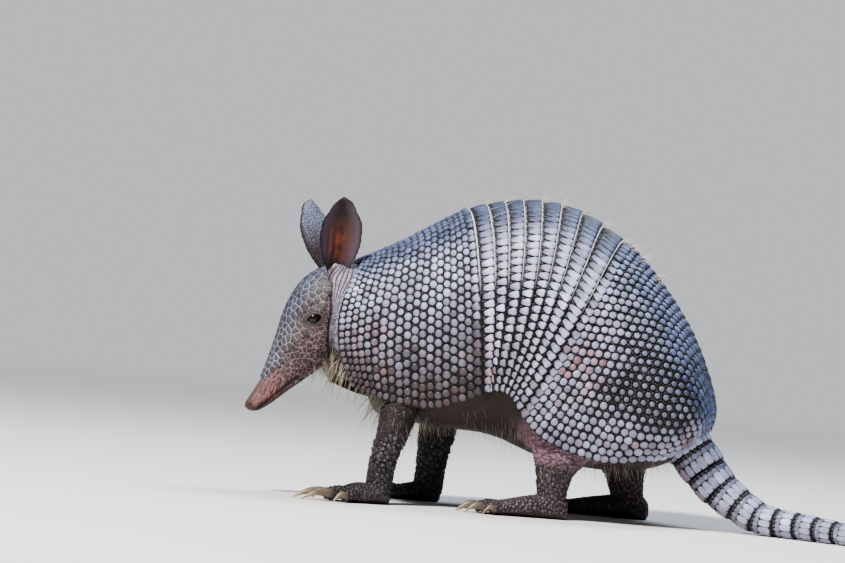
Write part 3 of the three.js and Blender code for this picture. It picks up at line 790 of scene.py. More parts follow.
legs = {  # path: x, y, z, half width and half depth
    "front_left": {
        "path": [
            (-50, -30, 78, 13, 15), (-52, -33, 62, 12, 13.5),
            (-57, -37, 43, 10, 11), (-62, -38.5, 26, 9, 9),
        ],
        "wrist": (-64, -39, 6), "paw": frontPaw, "toes": frontToes, "heading": 0.12,
    },
    "front_right": {
        "path": [
            (-14, 31, 78, 13, 15), (-15, 34, 62, 12, 13.5), (-16.5, 38, 43, 10, 11), (-18, 39, 26, 9, 9),
        ],
        "wrist": (-19, 39.5, 6), "paw": frontPaw, "toes": frontToes, "heading": -0.15,
    },
    "hind_left": {
        "path": [
            (64, -33, 76, 20, 30), (62, -40, 56, 17, 26), (60, -44, 39, 14, 20), (56, -46, 25, 10, 12.5),
        ],
        "wrist": (56, -46.5, 8), "paw": hindPaw, "toes": hindToes, "heading": 0.1,
    },
    "hind_right": {
        "path": [
            (88, 33, 74, 19, 28), (90, 37, 55, 16, 23), (92, 40, 38, 12.5, 17), (95, 41, 24, 9.5, 11.5),
        ],
        "wrist": (99, 41, 8), "paw": hindPaw, "toes": hindToes, "heading": -0.12,
    },
}
solePress = 0.6
toeShape = {"sunk": 5, "thicker": 0.5, "arch": 1.4, "rootRise": 0.9, "tipDrop": 0.2}
clawShape = {"sunk": 1.5, "rise": 0.9, "share": 0.82, "arch": 2.6, "tip": 0.5, "taper": 1.5}
skinLooks = {"inset": 0.25, "voxel": 0.62, "triangles": 188000}


def headSurface(t, angle, grow=0.0):
    along, top, bottom, half = (through(head[key], t) for key in ("along", "top", "bottom", "half"))
    longer = mix(-grow, grow, t / (len(head["along"]) - 1))
    up = (top + bottom) / 2 + ((top - bottom) / 2 + grow) * np.cos(angle)
    return headPoint(along + longer, up, (half + grow) * np.sin(angle))


def neckPoint(u, angle, grow):
    at = {key: through(values, u * 4) for key, values in neck.items() if key != "rise"}
    up = (at["tall"] + grow) * np.cos(angle)
    return stack(at["middleX"] + up * at["lean"], (at["half"] + grow) * np.sin(angle), at["middleZ"] + up)


def trunkPoint(t, angle, grow):
    angle = np.where(angle > math.pi, angle - 2 * math.pi, angle)
    a = np.abs(angle)
    side = np.sign(angle) * np.minimum(a, shell["marginAngle"]) / shell["marginAngle"]
    p = offsetFrom(shellPoint, t, side, grow - shell["thickness"] - flesh["under"] + 0 * side)
    drawnIn = np.abs(p[..., 1]) - flesh["tuck"] * smooth(flesh["tuckStart"], shell["marginAngle"], a)
    below = np.maximum(0, a - shell["marginAngle"]) / (math.pi - shell["marginAngle"]) * math.pi / 2
    down = np.sin(below)
    x = mix(p[..., 0], through(body["keelX"], t), down)
    z = mix(p[..., 2], through(body["keelZ"], t) - grow, down)
    return stack(x, np.sign(angle) * drawnIn * np.cos(below), z)


def addTube(bm, ring, rows, columns):  # ring(u, angle) in the body's millimetres
    return addSheet(bm, lambda u, v: place(ring(u, v * 2 * math.pi)), rows, columns, closed=True, ends=True)


def alongPath(path, u):
    return [through([p[i] for p in path], u * (len(path) - 1)) for i in range(len(path[0]))]


def turned(leg, x, y, z):  # from the wrist's own axes to the body's
    c, s = math.cos(leg["heading"]), math.sin(leg["heading"])
    wx, wy, wz = leg["wrist"]
    return stack(wx + c * x - s * y, wy + s * x + c * y, wz + z)


def toeEnds(leg, toe):
    across, reach, turn, radius, _ = toe
    x, long, z = leg["paw"][-1][0] + toeShape["sunk"], reach + toeShape["sunk"], radius - leg["wrist"][2]
    tip = (x - long * math.cos(turn), across + long * math.sin(turn), z - toeShape["tipDrop"])
    return (x, across, z + toeShape["rootRise"]), tip


def digit(leg, base, tip, radius, tipRadius, arch, grow):  # a ring function for a toe or a claw
    dx, dy = (b - a for a, b in zip(base[:2], tip[:2]))
    flat, longer = math.hypot(dx, dy), grow / math.dist(base, tip)

    def ring(u, angle):
        x, y, z = (mix(a, b, u + longer * (2 * u - 1)) for a, b in zip(base, tip))
        r = mix(radius, tipRadius, u ** clawShape["taper"]) + grow
        out, up = r * np.cos(angle), r * np.sin(angle) + arch * np.sin(math.pi * u)
        return turned(leg, x - dy / flat * out, y + dx / flat * out, z + up)
    return ring


def addLeg(bm, leg, grow):
    path = [*leg["path"], (*leg["wrist"][:2], *ankle)]

    def limb(u, angle):
        x, y, z, wide, deep = alongPath(path, u)
        return stack(x + (deep + grow) * np.cos(angle), y + (wide + grow) * np.sin(angle), z)

    x0, wide0, tall0 = leg["paw"][0]
    rings = [(x0 + heel["back"], wide0 * heel["narrower"], tall0 * heel["lower"]), *leg["paw"]]

    def pad(u, angle):
        x, wide, tall = alongPath(rings, u)
        z = (tall + grow) * np.sin(angle) + tall - leg["wrist"][2] - solePress
        return turned(leg, x, (wide + grow) * np.cos(angle), z)

    addTube(bm, limb, 30, 40)
    addTube(bm, pad, 24, 32)
    for toe in leg["toes"]:
        radii = toe[3] + toeShape["thicker"], toe[3]
        addTube(bm, digit(leg, *toeEnds(leg, toe), *radii, toeShape["arch"], grow), 8, 16)


def earAxes(ear):
    up, out = unit(np.array(ear["tip"], float)), np.array(ear["faces"], float)
    out = unit(out - up * (out @ up))
    return up, out, np.cross(out, up)


def earWidth(share):  # half the ear's width, from its root at 0 to its tip at 1
    e = earShape
    bulge = np.sin(math.pi * (np.minimum(share, e["full"]) * e["reach"] + e["start"])) ** e["power"]
    rounding = np.maximum(0, (share - e["tipFrom"]) / (1 - e["tipFrom"]))
    return e["wide"] / 2 * mix(e["root"], 1, bulge) * np.sqrt(np.maximum(e["tipLeast"], 1 - rounding ** 2))


def earFold(aside, share):  # how far the ear's middle is cupped
    return earShape["cup"] * (1 - aside ** 2) * (1 - earShape["unfold"] * share)


def earRing(ear):
    up, out, across = earAxes(ear)

    def ring(u, angle):
        along = mix(-earShape["sunk"], ear["long"], u)
        share = np.maximum(along, 0) / ear["long"]
        half = earWidth(share)
        sideways = half * np.cos(angle)
        depth = earShape["thick"] / 2 * np.sin(angle) - earFold(sideways / half, share)
        parts = (up, along), (across, sideways), (out, depth)
        return np.array(ear["root"]) + sum(way * far[..., None] for way, far in parts)
    return ring


def napeRise(u, angle):  # the nape fills the shield's mouth
    return neck["rise"] * np.sin(math.pi * np.minimum(1.1 * u, 1)) * np.sqrt(np.maximum(np.cos(angle), 0))


def fleshMesh():
    bm = bmesh.new()
    inset = -skinLooks["inset"]
    addTube(bm, lambda u, a: headSurface(u * 10, a, inset), 60, 64)
    addTube(bm, lambda u, a: neckPoint(u, a, inset + napeRise(u, a)), 40, 64)
    addTube(bm, lambda u, a: trunkPoint(mix(*trunkReach, u), a, inset), 60, 90)
    for leg in legs.values():
        addLeg(bm, leg, inset)
    for ear in ears.values():  # the mound that each ear stands on
        def mound(u, angle):
            at = np.array(ear["root"]) + earAxes(ear)[0] * mix(*earMound["reach"], u)[..., None]
            r = mix(*earMound["radius"], smooth(0, 1, u))
            return at + stack(r * np.cos(angle), earMound["flat"] * r * np.sin(angle), 0 * r)

        addTube(bm, mound, 10, 24)
    return toMesh(bm, "skin")


def perPoint(items, key):
    values = np.empty(len(items) * 3, np.float32)
    items.foreach_get(key, values)
    return values.reshape(-1, 3).astype(float)


def movePoints(mesh, places):
    mesh.vertices.foreach_set("co", places.ravel())
    mesh.update()


def coordinates(mesh):
    return perPoint(mesh.vertices, "co")


def bodyCoordinates(mesh):
    return straighten(coordinates(mesh) / mm - shift)


def shellSection(t):  # the shell's outline across a station, from its margin up
    return shellPoint(np.full(80, float(t)), np.linspace(1, 0, 80))


def underShell(p):  # 1 where the shell hides the skin
    x, z = p[:, 0], p[:, 2]
    rear, ts = shellSection(11.9), np.linspace(0, shell["end"], 200)
    edge = shellPoint(ts, np.ones(200))
    above = z - np.interp(x, edge[:, 0], edge[:, 2])
    fromRear = np.interp(z, rear[:, 2], rear[:, 0]) - x
    return smooth(-4, -9, frontGap(p)) * smooth(0, 4, fromRear) * smooth(5, 11, above)


def byWeight(piece, weights, kind, **settings):  # a modifier that works most where the weights are high
    group = piece.vertex_groups.new(name="weights")
    for level in range(1, 5):
        at = np.nonzero(np.ceil(weights * 4) == level)[0]
        group.add(at.tolist(), level / 4, "REPLACE")
    step = piece.modifiers.new("weighted", kind)
    for key, value in settings.items():
        setattr(step, key, value)
    step.vertex_group = "weights"
    applied(piece)
    piece.vertex_groups.clear()


def reduce(piece, weights, target):  # thins the mesh out to so many triangles
    byWeight(piece, weights, "DECIMATE", ratio=target / triangles(piece.data))


def headAt(p):  # along and up the head, and the way round it from the crown
    x, z = p[:, 0] - head["from"][0], p[:, 2] - head["from"][1]
    along = x * headForward[0] + z * headForward[1]
    up = x * headUp[0] + z * headUp[1]
    station = np.interp(along, head["along"], range(11))
    top, bottom, half = (through(head[key], station) for key in ("top", "bottom", "half"))
    around = np.arctan2(p[:, 1] / half, (up - (top + bottom) / 2) / ((top - bottom) / 2))
    on = smooth(-16, -9, along) * smooth(-60, -66, p[:, 0]) * smooth(bottom - 6, bottom - 3, up)
    return along, up, around, half, on


def eyeAt(along, up):  # how far out of the eye's opening, which is 1 at its edge, and of its middle
    a, b = along - eye["along"], up - eye["up"]
    c, s = math.cos(eye["tilt"]), math.sin(eye["tilt"])
    over = b * c - a * s
    return np.hypot((a * c + b * s) / eye["slit"][0], over / eye["slit"][1]), np.hypot(a, b), over


def creases(points, sizes, seed):  # 1 in the creases and 0 on the ridges of a stretched noise
    return (1 - np.minimum(1, np.abs(lumps(points / np.asarray(sizes, float) + seed)) * 3.2)) ** 2


def legAt(p):  # 1 on the legs, with the leg's number
    on, which = np.zeros(len(p)), np.zeros(len(p), int)
    for i, leg in enumerate(legs.values()):
        path = np.array([*leg["path"], (*leg["wrist"][:2], 0, 12, 13)], float)[::-1]
        x, y, wide, deep = (np.interp(p[:, 2], path[:, 2], path[:, k]) for k in (0, 1, 3, 4))
        e = np.hypot((p[:, 0] - x) / (deep + 4), (p[:, 1] - y) / (wide + 4))
        ahead, aside = p[:, 0] - leg["wrist"][0], np.abs(p[:, 1] - leg["wrist"][1])
        foot = (p[:, 2] < 16) & (aside < 22) & (ahead < 14) & (ahead > -72)
        here = np.maximum(smooth(1.25, 0.95, e) * smooth(82, 66, p[:, 2]), foot)
        which = np.where(here > on, i, which)
        on = np.maximum(on, here)
    return on, which


def frontGap(p):  # millimetres ahead of the shoulder shield's front edge
    front = shellSection(0)
    return np.interp(p[:, 2], front[:, 2], front[:, 0]) - p[:, 0]


def neckWidth(p):  # how much of the neck shows between the shield and the cheek
    return mix(1.6, 11.5, smooth(114, 142, p[:, 2]))


def neckPhase(p):  # whole numbers at the grooves of the neck's folds
    return frontGap(p) / neckWidth(p) * 4.5 + 0.8 * lumps(p, 0.07)


def foldsAt(p):  # how deep the skin is folded, in millimetres, and how much painted shade its creases take
    along, up, around, half, onHead = headAt(p)
    onLeg, opening = legAt(p)[0], eyeAt(along, up)[0]
    gap, wide, arc, aside = frontGap(p), neckWidth(p), around * half, np.abs(p[:, 1])
    byEar = sum(np.exp(-(length(p - np.array(ear["root"])) / 8) ** 4) for ear in ears.values())
    onNeck = smooth(-5, -2, gap) * smooth(wide + 0.8, wide - 0.4, gap) * (1 - onLeg)
    onNeck = onNeck * (1 - 0.8 * np.clip(byEar, 0, 1))
    groove = 1 - np.abs(np.sin(math.pi * neckPhase(p))) ** 0.6
    jowl = np.exp(-((gap - wide - 0.3) / 0.7) ** 2) * smooth(40, 30, np.abs(up)) * (1 - onLeg)
    lids = smooth(1.25, 1.45, opening) * smooth(3.6, 2.2, opening) * onHead
    lidFold = 1 - np.abs(np.sin(math.pi * (opening - 1.28) / 0.42))
    snout = smooth(44, 60, along) * smooth(86, 82, along) * onHead * smooth(0.3, 0.7, np.abs(around))
    bowed = arc + 0.10 * (along - 60) + 0.6 * np.sin(along * 0.35)
    cheek = onHead * smooth(0.8, 1.25, np.abs(around)) * smooth(60, 45, along) * smooth(1.6, 2.6, opening)
    lips = mix(*head["lips"], (86 - along) / 34)
    mouth = np.exp(-((up - lips) / 0.75) ** 2) * smooth(48, 53, along) * onHead * smooth(0.8, 2.0, aside)
    fromNostril = np.hypot(along - head["nostril"][0], up - head["nostril"][1])
    nostril = np.exp(-fromNostril ** 2 / 2.9) * smooth(2.0, 3.2, aside) * onHead
    rest = (1 - onLeg) * (1 - onHead) * smooth(7, 5, gap)
    folds = [  # how deep, how dark its painted shade, and where
        (1.1 * mix(0.6, 1, wide / 12), 1, groove * onNeck),
        (1.2, 1, jowl),
        (0.4, 0.9, lidFold * lids),
        (0.8, 1, creases(stack(along, bowed, 0 * arc), (6.5, 1.75, 1), 3.1) * snout),
        (0.5, 0.7, creases(stack(along, arc, 0 * arc), (3.6, 3.1, 1), 8.7) * cheek),
        (1.5, 1, mouth),
        (1.6, 1, nostril),
        (0.85, 0.8, creases(p, (9, 9, 2.9), 5.3) * onLeg * smooth(16, 26, p[:, 2])),
        (0.4, 0.6, creases(p, (3.4, 9, 5), 1.7) * rest),
    ]
    crease = np.max([dark * share for _, dark, share in folds], axis=0)
    return -sum(deep * share for deep, _, share in folds), crease


def nearEye(p):
    along, up, _, _, onHead = headAt(p)
    opening, away, over = eyeAt(along, up)
    return opening, away, over, (away < eye["near"]) & (onHead > 0) & (np.abs(p[:, 1]) > eye["near"])


def openEyes(piece):  # a finer mesh about the eyes, sunk under the eyeballs and raised into lids
    bm = bmesh.new()
    bm.from_mesh(piece.data)
    here = nearEye(bodyCoordinates(piece.data))[3]
    bm.verts.ensure_lookup_table()
    edges = {e for i in np.nonzero(here)[0] for e in bm.verts[i].link_edges}
    bmesh.ops.subdivide_edges(bm, edges=list(edges), cuts=1, use_grid_fill=True)
    bmesh.ops.triangulate(bm, faces=[f for f in bm.faces if len(f.verts) > 4])
    bm.to_mesh(piece.data)
    bm.free()
    p = bodyCoordinates(piece.data)
    opening, away, over, here = nearEye(p)
    out = np.abs(p[:, 1])
    ball = eye["out"] + np.sqrt(np.maximum(eye["radius"] ** 2 - away ** 2, 0))
    lid = np.maximum(ball + 0.5 + 0.25 * (over > 0), out)
    lid = mix(lid, out + 0.15, smooth(1.25, 2.1, opening))
    sunk = mix(ball - eye["socket"], lid, smooth(0.93, 1.06, opening))
    p[:, 1] = np.where(here, np.sign(p[:, 1]) * sunk, p[:, 1])
    movePoints(piece.data, place(p))


def relax(piece, weights, iterations):
    byWeight(piece, weights, "SMOOTH", factor=0.5, iterations=iterations)


def joinsAt(p):  # where limbs, neck and ears grow out of the trunk and head
    onLeg = smooth(52, 62, p[:, 2]) * smooth(90, 80, p[:, 2]) * legAt(p)[0]
    nape = smooth(10, 2, headAt(p)[0]) * smooth(-50, -60, p[:, 0])
    cuffs = 0.35 * np.exp(-((p[:, 2] - 12) / 5) ** 2)
    return np.clip(onLeg + nape + cuffs, 0, 1)


skinColours = {
    # belly, fore and chest are darkened with painted shade, for the shaded underside, chest and front legs
    "brow": (0.075, 0.064, 0.076), "cheek": (0.068, 0.041, 0.044), "snout": (0.225, 0.115, 0.112),
    "nose": (0.075, 0.038, 0.036), "neck": (0.36, 0.335, 0.43), "belly": (0.035, 0.023, 0.019),
    "hind": (0.31, 0.18, 0.235), "shank": (0.055, 0.041, 0.049), "fore": (0.024, 0.018, 0.017),
    "crease": (0.012, 0.007, 0.008), "chest": (0.055, 0.04, 0.035), "lid": (0.062, 0.044, 0.05),
    "paw": (0.045, 0.034, 0.034), "jaw": (0.05, 0.03, 0.028),
}


def paintSkin(mesh):  # its colours, and where it is scaly, folded or netted with pale lines
    p = bodyCoordinates(mesh)
    along, up, around, _, onHead = headAt(p)
    onLeg, which = legAt(p)
    hind = (which >= 2)[:, None]
    gap, wide, low = frontGap(p), neckWidth(p), p[:, 2]
    opening, atEye = eyeAt(along, up)[0], np.abs(p[:, 1]) > eye["near"]
    crease, blotch = foldsAt(p)[1], lumps(p, 0.11)
    around = np.abs(around)
    face = onHead * smooth(-1, 1, gap - wide)
    c = {key: np.array(value) for key, value in skinColours.items()}
    # the front legs take fore, which is darkened with painted shade
    thigh, shank = (np.where(hind, c[key], c["fore"]) for key in ("hind", "shank"))
    leg = mix(thigh, shank, smooth(44, 26, low)[:, None])
    leg = mix(leg, c["paw"], smooth(14, 5, low)[:, None] * 0.6)
    coats = [
        # chest: darkened with painted shade under the shield's front
        (c["chest"], smooth(-40, -62, p[:, 0]) * smooth(66, 74, low)),
        (c["neck"], smooth(-7, -3, gap) * smooth(84, 100, low)),
        (leg, onLeg),
        (c["cheek"], face),
        (c["brow"], face * smooth(1.35, 1.0, around) * smooth(66, 50, along)),
        (c["snout"], onHead * smooth(50, 68, along)),
        (c["brow"], 0.75 * onHead * smooth(0.8, 0.35, around) * smooth(50, 68, along)),
        (c["jaw"], 0.85 * onHead * smooth(1.9, 2.3, around - 0.25 * blotch)),
        (c["nose"], onHead * smooth(81.5, 84.5, along) * smooth(-6.5, -4.5, up)),
        (c["lid"], onHead * smooth(2.1, 1.3, opening) * atEye),
        (None, 0.35 * blotch),
        # painted shade at the rim of the eye's opening, then in the folds and creases
        (c["crease"], onHead * smooth(1.2, 1.02, opening) * atEye),
        (c["crease"], 0.88 * crease),
    ]
    tint = np.broadcast_to(c["belly"], p.shape)
    for colour, share in coats:  # one over another; blotches lighten or darken what is there
        share = share[:, None]
        tint = tint * (1 + share) if colour is None else mix(tint, colour, np.clip(share, 0, 1))
    addAttribute(mesh, "tint", "FLOAT_COLOR", np.concatenate([tint, np.ones((len(p), 1))], 1))
    scaly = mix(0.2, 1, onLeg * smooth(70, 40, low)) * (1 - 0.75 * onHead)
    scaly *= mix(1, 0.2, smooth(-7, -3, gap) * (1 - onLeg))
    onNeck = smooth(-3, 0, gap) * smooth(wide + 1, wide - 0.5, gap) * (1 - onLeg)
    net = onHead * smooth(0, 2, gap - wide) * smooth(72, 55, along) * smooth(1.5, 2.3, opening)
    net = net * (1 - crease)
    for key, values in (("scaly", scaly), ("onNeck", onNeck), ("phase", neckPhase(p)), ("net", net)):
        addAttribute(mesh, key, "FLOAT", values)


def skinMaterial():
    s = Shader("skin", 0.58, Subsurface_Weight=0.08, Subsurface_Scale=0.002, Specular_IOR_Level=0.42)
    scaly, onNeck = s.value("scaly"), s.value("onNeck")
    groove = s.between(s.toEdge(430), 0.0, 0.16, 1, 0)
    fine = s.noise(1500, 4)
    dark = s.math("MULTIPLY", groove, s.math("MULTIPLY", scaly, 0.62))
    colour = s.blend(dark, s.value("tint", "Color"), (0.03, 0.02, 0.02))
    colour = s.blend(s.between(fine, 0.35, 0.7, 0, 0.3), colour, (0.62, 0.52, 0.5), "OVERLAY")
    line = s.math("MULTIPLY", s.between(s.toEdge(340), 0.03, 0.11, 1, 0), s.value("net"))
    colour = s.blend(s.math("MULTIPLY", line, 0.7), colour, (0.36, 0.265, 0.27))
    wave = s.math("ABSOLUTE", s.math("SINE", s.math("MULTIPLY", s.value("phase"), math.pi)))
    # painted shade in the grooves of the neck's folds
    fold = s.math("MULTIPLY", s.between(wave, 0.08, 0.5, 1, 0), onNeck)
    colour = s.blend(fold, colour, (0.022, 0.015, 0.02))
    thin = s.between(s.noise(900, 3, (1, 1, 0.18)), 0.42, 0.6, 0, 0.6)
    colour = s.blend(s.math("MULTIPLY", thin, onNeck), colour, (0.10, 0.075, 0.09))
    height = s.math("SUBTRACT", s.math("MULTIPLY", fine, 0.35), s.math("MULTIPLY", groove, scaly))
    height = s.math("SUBTRACT", height, s.math("MULTIPLY", fold, 1.5))
    height = s.math("ADD", height, s.math("MULTIPLY", line, 0.8))
    return s.finish(colour, s.between(fine, 0.3, 0.7, 0.5, 0.7), s.bump(height, 0.0006, 0.75))


def buildSkin():
    piece = link("skin", fleshMesh())
    remesh = piece.modifiers.new("remesh", "REMESH")
    remesh.mode, remesh.voxel_size = "VOXEL", skinLooks["voxel"] * mm
    applied(piece)
    print("skin remeshed", len(piece.data.vertices))
    hidden = underShell(bodyCoordinates(piece.data))
    reduce(piece, hidden, triangles(piece.data) - 0.96 * 2 * hidden.sum())
    relax(piece, np.full(len(piece.data.vertices), 0.5), 8)
    relax(piece, joinsAt(bodyCoordinates(piece.data)), 60)
    openEyes(piece)
    mesh = piece.data
    depth = foldsAt(bodyCoordinates(mesh))[0][:, None]
    movePoints(mesh, coordinates(mesh) + perPoint(mesh.vertex_normals, "vector") * depth * mm)
    p = bodyCoordinates(mesh)
    reduce(piece, np.clip(0.9 - 0.75 * headAt(p)[4] - 0.35 * legAt(p)[0], 0.12, 1), skinLooks["triangles"])
    mesh = piece.data
    mesh.shade_smooth()
    movePoints(mesh, np.maximum(coordinates(mesh), [-1, -1, 0]))  # the soles lie flat on the floor
    paintSkin(mesh)
    mesh.materials.append(skinMaterial())
    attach(piece, "root")
    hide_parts("head", "neck", "trunk", *(f"leg_{name}" for name in legs))
    print("skin", len(mesh.polygons), "faces")
    return piece


skinPiece = buildSkin()
print("stage: skin")

# eyes


def buildEyes():
    s = Shader("eyeGloss", 0.09, Specular_IOR_Level=0.32, Coat_Weight=0.12, Coat_Roughness=0.02)
    gloss = s.finish((0.012, 0.008, 0.007))
    for name, side in (("left", -1), ("right", 1)):
        bm = bmesh.new()
        middle = Vector(place(headPoint(eye["along"], eye["up"], side * eye["out"])))
        bmesh.ops.create_uvsphere(bm, u_segments=48, v_segments=32, radius=eye["radius"] * mm,
                                  matrix=Matrix.Translation(middle))
        ball = toMesh(bm, f"eyeball_{name}", False)
        link(ball.name, ball, gloss, "eye", [f"eye_{name}"])


# the armour of the head

armour = {
    "reach": (0.7, 7.35), "side": 1.5, "cell": (4.5, 3.4), "plate": 0.75, "sunk": 1.3,
    "rows": 210, "columns": 160, "edge": 0.45, "clearOfEye": 8.2,
}


def armourSurface(t, side, lift=0.0):
    return offsetFrom(lambda a, b: headSurface(a, -b), t, side, lift)


def armourCells():  # the middles of the head's horny cells, in staggered rows, and which are on it
    spots, on = [], []
    s, row = -19.0, 0
    while s < 80:
        t = float(np.interp(s, head["along"], range(11)))
        pitch = float(mix(*armour["cell"], smooth(15, 70, s)))
        half = float(through(head["half"], t))
        reach = int(1.8 * half / pitch)
        for j in range(-reach, reach + 1):
            side = (j + 0.5 * (row % 2) + random.normal(0, 0.14)) * pitch / half
            at = t + random.normal(0, 0.055)
            spot = armourSurface(np.array([at]), np.array([side]))
            away = eyeAt(*headAt(spot)[:2])[1][0]
            clear = away > armour["clearOfEye"] and frontGap(spot)[0] > neckWidth(spot)[0]
            spots.append(spot[0])
            on.append(abs(side) < mix(1.28, 0.8, smooth(3.5, 7.2, at)) and 0.8 < at < 7.1 and clear)
        s += pitch * 0.9
        row += 1
    return np.array(spots), np.array(on)


def headHornMaterial():
    s = Shader("headHorn", 0.5, Specular_IOR_Level=0.45)
    low, border, mottle, fine = s.value("low"), s.value("border"), s.noise(380, 4), s.noise(1700, 3)
    plate = s.blend(low, (0.036, 0.035, 0.047), (0.052, 0.036, 0.036))
    # the rear of the crown takes a painted blue sky reflection
    plate = s.blend(s.value("back"), plate, (0.040, 0.050, 0.088))
    plate = s.blend(s.between(mottle, 0.35, 0.7, 0, 0.4), plate, (0.14, 0.13, 0.155))
    pale = s.blend(low, (0.27, 0.275, 0.34), (0.30, 0.23, 0.22))
    colour = s.blend(s.between(border, 0.12, 0.4), pale, plate)
    colour = s.toned(s.blend(s.between(border, 0.0, 0.1), (0.035, 0.027, 0.03), colour))
    normal = s.bump(s.math("ADD", mottle, fine), 0.0003, 0.6)
    return s.finish(colour, s.between(fine, 0.3, 0.7, 0.42, 0.62), normal)


def buildHeadArmour():
    seeds, on = armourCells()
    tree = treeOf(seeds)
    bm = bmesh.new()
    layers = [bm.verts.layers.float.new(key) for key in ("border", "tone", "back", "low")]
    rows, columns = armour["rows"], armour["columns"]
    made = addSheet(bm, lambda u, v: 0 * stack(u, v, v), rows, columns)
    u, v = gridPlaces(rows, columns)
    t, side = mix(*armour["reach"], u), mix(-armour["side"], armour["side"], v)
    base = armourSurface(t, side)
    tones = spread(1, 0.16, len(seeds), 0.65, 1.4)
    border, cell = np.empty(len(base)), np.empty(len(base), int)
    for k, spot in enumerate(base.tolist()):  # how far it lies from the edge between its cell and the next
        (_, first, d1), (_, second, d2) = tree.find_n(spot, 2)
        border[k] = (d2 * d2 - d1 * d1) / (2 * length(seeds[first] - seeds[second]))
        cell[k] = first
    rise = 0.75 * smooth(0, armour["edge"], border) + 0.25 * smooth(0.3, 2.4, border)
    raised = 0.12 + armour["plate"] * rise
    setPoints(made, place(armourSurface(t, side, np.where(on[cell], raised, -armour["sunk"]))))
    around = np.abs(side)
    # back: where the head's rear top takes a painted blue sky reflection
    looks = (border, tones[cell], smooth(0.75, 0.3, around) * smooth(5, 3, t), smooth(0.5, 1.2, around))
    for layer, numbers in zip(layers, looks):
        for vert, number in zip(made, numbers):
            vert[layer] = number
    under = {v for v, isOn in zip(made, on[cell]) if not isOn}
    bmesh.ops.delete(bm, geom=[f for f in bm.faces if all(v in under for v in f.verts)], context="FACES")
    link("head_armour", toMesh(bm, "head_armour"), headHornMaterial(), "shell", ["head_shield"])


# ears


def earMaterial():
    s = Shader("earSkin", 0.6, Subsurface_Weight=0.12, Subsurface_Scale=0.0015, Specular_IOR_Level=0.4)
    inner, share, rim = s.value("inner"), s.value("share"), s.value("rim")
    mottle, fine = s.noise(260, 5), s.noise(1300, 3)
    centre = s.blend(s.between(mottle, 0.3, 0.72), (0.030, 0.012, 0.010), (0.20, 0.042, 0.017))
    inside = s.blend(s.between(share, 0.45, 0.75), centre, (0.026, 0.013, 0.013))
    inside = s.blend(s.between(rim, 0.22, 0.8), inside, (0.085, 0.060, 0.080))
    inside = s.blend(s.between(share, 0.22, 0.04), inside, (0.05, 0.035, 0.04))
    groove = s.between(s.toEdge(560), 0.02, 0.16, 1, 0)
    outside = s.blend(s.between(share, 0.25, 0.7), (0.05, 0.03, 0.03), (0.22, 0.245, 0.35))
    outside = s.blend(s.between(mottle, 0.45, 0.7, 0, 0.5), outside, (0.09, 0.075, 0.09))
    grooved = s.math("MULTIPLY", groove, s.between(share, 0.2, 0.9, 0.85, 0.4))
    outside = s.blend(grooved, outside, (0.03, 0.028, 0.04))
    colour = s.blend(inner, outside, inside)
    colour = s.blend(s.between(rim, 0.84, 0.95), colour, (0.03, 0.022, 0.026))
    raised = s.math("MULTIPLY", groove, s.between(inner, 0, 1, 1, 0.08))
    height = s.math("SUBTRACT", s.math("MULTIPLY", fine, 0.4), raised)
    return s.finish(colour, s.between(fine, 0.3, 0.7, 0.5, 0.7), s.bump(height, 0.0005, 0.8))


def buildEars():
    material = earMaterial()
    for name, ear in ears.items():
        bm = bmesh.new()
        addTube(bm, earRing(ear), 80, 96)
        mesh = toMesh(bm, f"ear_skin_{name}")
        up, out, across = earAxes(ear)
        q = bodyCoordinates(mesh) - np.array(ear["root"])
        share, aside = np.clip(q @ up / ear["long"], 0, 1.05), q @ across
        rim = np.clip(np.abs(aside) / earWidth(share), 0, 1.1)
        inner = smooth(-0.15, 0.15, q @ out + earFold(rim, share))
        ragged = lumps(q, 0.55) * smooth(0.8, 0.97, rim)
        pleats = np.sin(aside * 1.5 + 1.5 * np.sin(share * 5))
        pleats = pleats * smooth(0.05, 0.2, share) * smooth(0.75, 0.4, share)
        move = across * (0.5 * np.sign(aside) * ragged)[:, None]
        move = move + out * (0.28 * pleats * inner * smooth(0.8, 0.4, rim))[:, None]
        movePoints(mesh, place(q + np.array(ear["root"]) + move))
        rim = np.maximum(rim, smooth(0.93, 1.0, share))
        for key, values in (("inner", inner), ("share", share), ("rim", rim)):
            addAttribute(mesh, key, "FLOAT", values)
        link(f"ear_skin_{name}", mesh, material, "ear", [f"ear_{name}"])


# claws


def clawRing(leg, toe):
    _, _, turn, radius, long = toe
    x, y, z = toeEnds(leg, toe)[1]
    base = (x + clawShape["sunk"], y, z + clawShape["rise"])
    tip = (x - long * math.cos(turn), y + long * math.sin(turn), clawShape["tip"] - leg["wrist"][2])
    radii = radius * clawShape["share"] - 0.1, clawShape["tip"] - 0.1
    return digit(leg, base, tip, *radii, clawShape["arch"], 0)


def buildClaws():
    s = Shader("clawHorn", 0.36, Specular_IOR_Level=0.5)
    streaks = s.noise(260, 4, (0.25, 1.6, 1.6))
    colour = s.blend(s.between(streaks, 0.35, 0.65), (0.19, 0.145, 0.10), (0.42, 0.35, 0.26))
    colour = s.blend(s.value("tipShare"), (0.10, 0.075, 0.06), colour)
    horny = s.finish(colour, s.between(streaks, 0.3, 0.7, 0.3, 0.5), s.bump(streaks, 0.0003, 0.5))
    for name, leg in legs.items():
        bm = bmesh.new()
        tipShare = bm.verts.layers.float.new("tipShare")
        for toe in leg["toes"]:
            made = addTube(bm, clawRing(leg, toe), 16, 18)
            xs = [v.co.x for v in made]
            for vert in made:
                vert[tipShare] = (max(xs) - vert.co.x) / (max(xs) - min(xs))
        nodes = [f"claw_{name}_{i + 1}" for i in range(len(leg["toes"]))]
        link(f"claws_{name}", toMesh(bm, f"claws_{name}"), horny, "claw", nodes)


# the tail

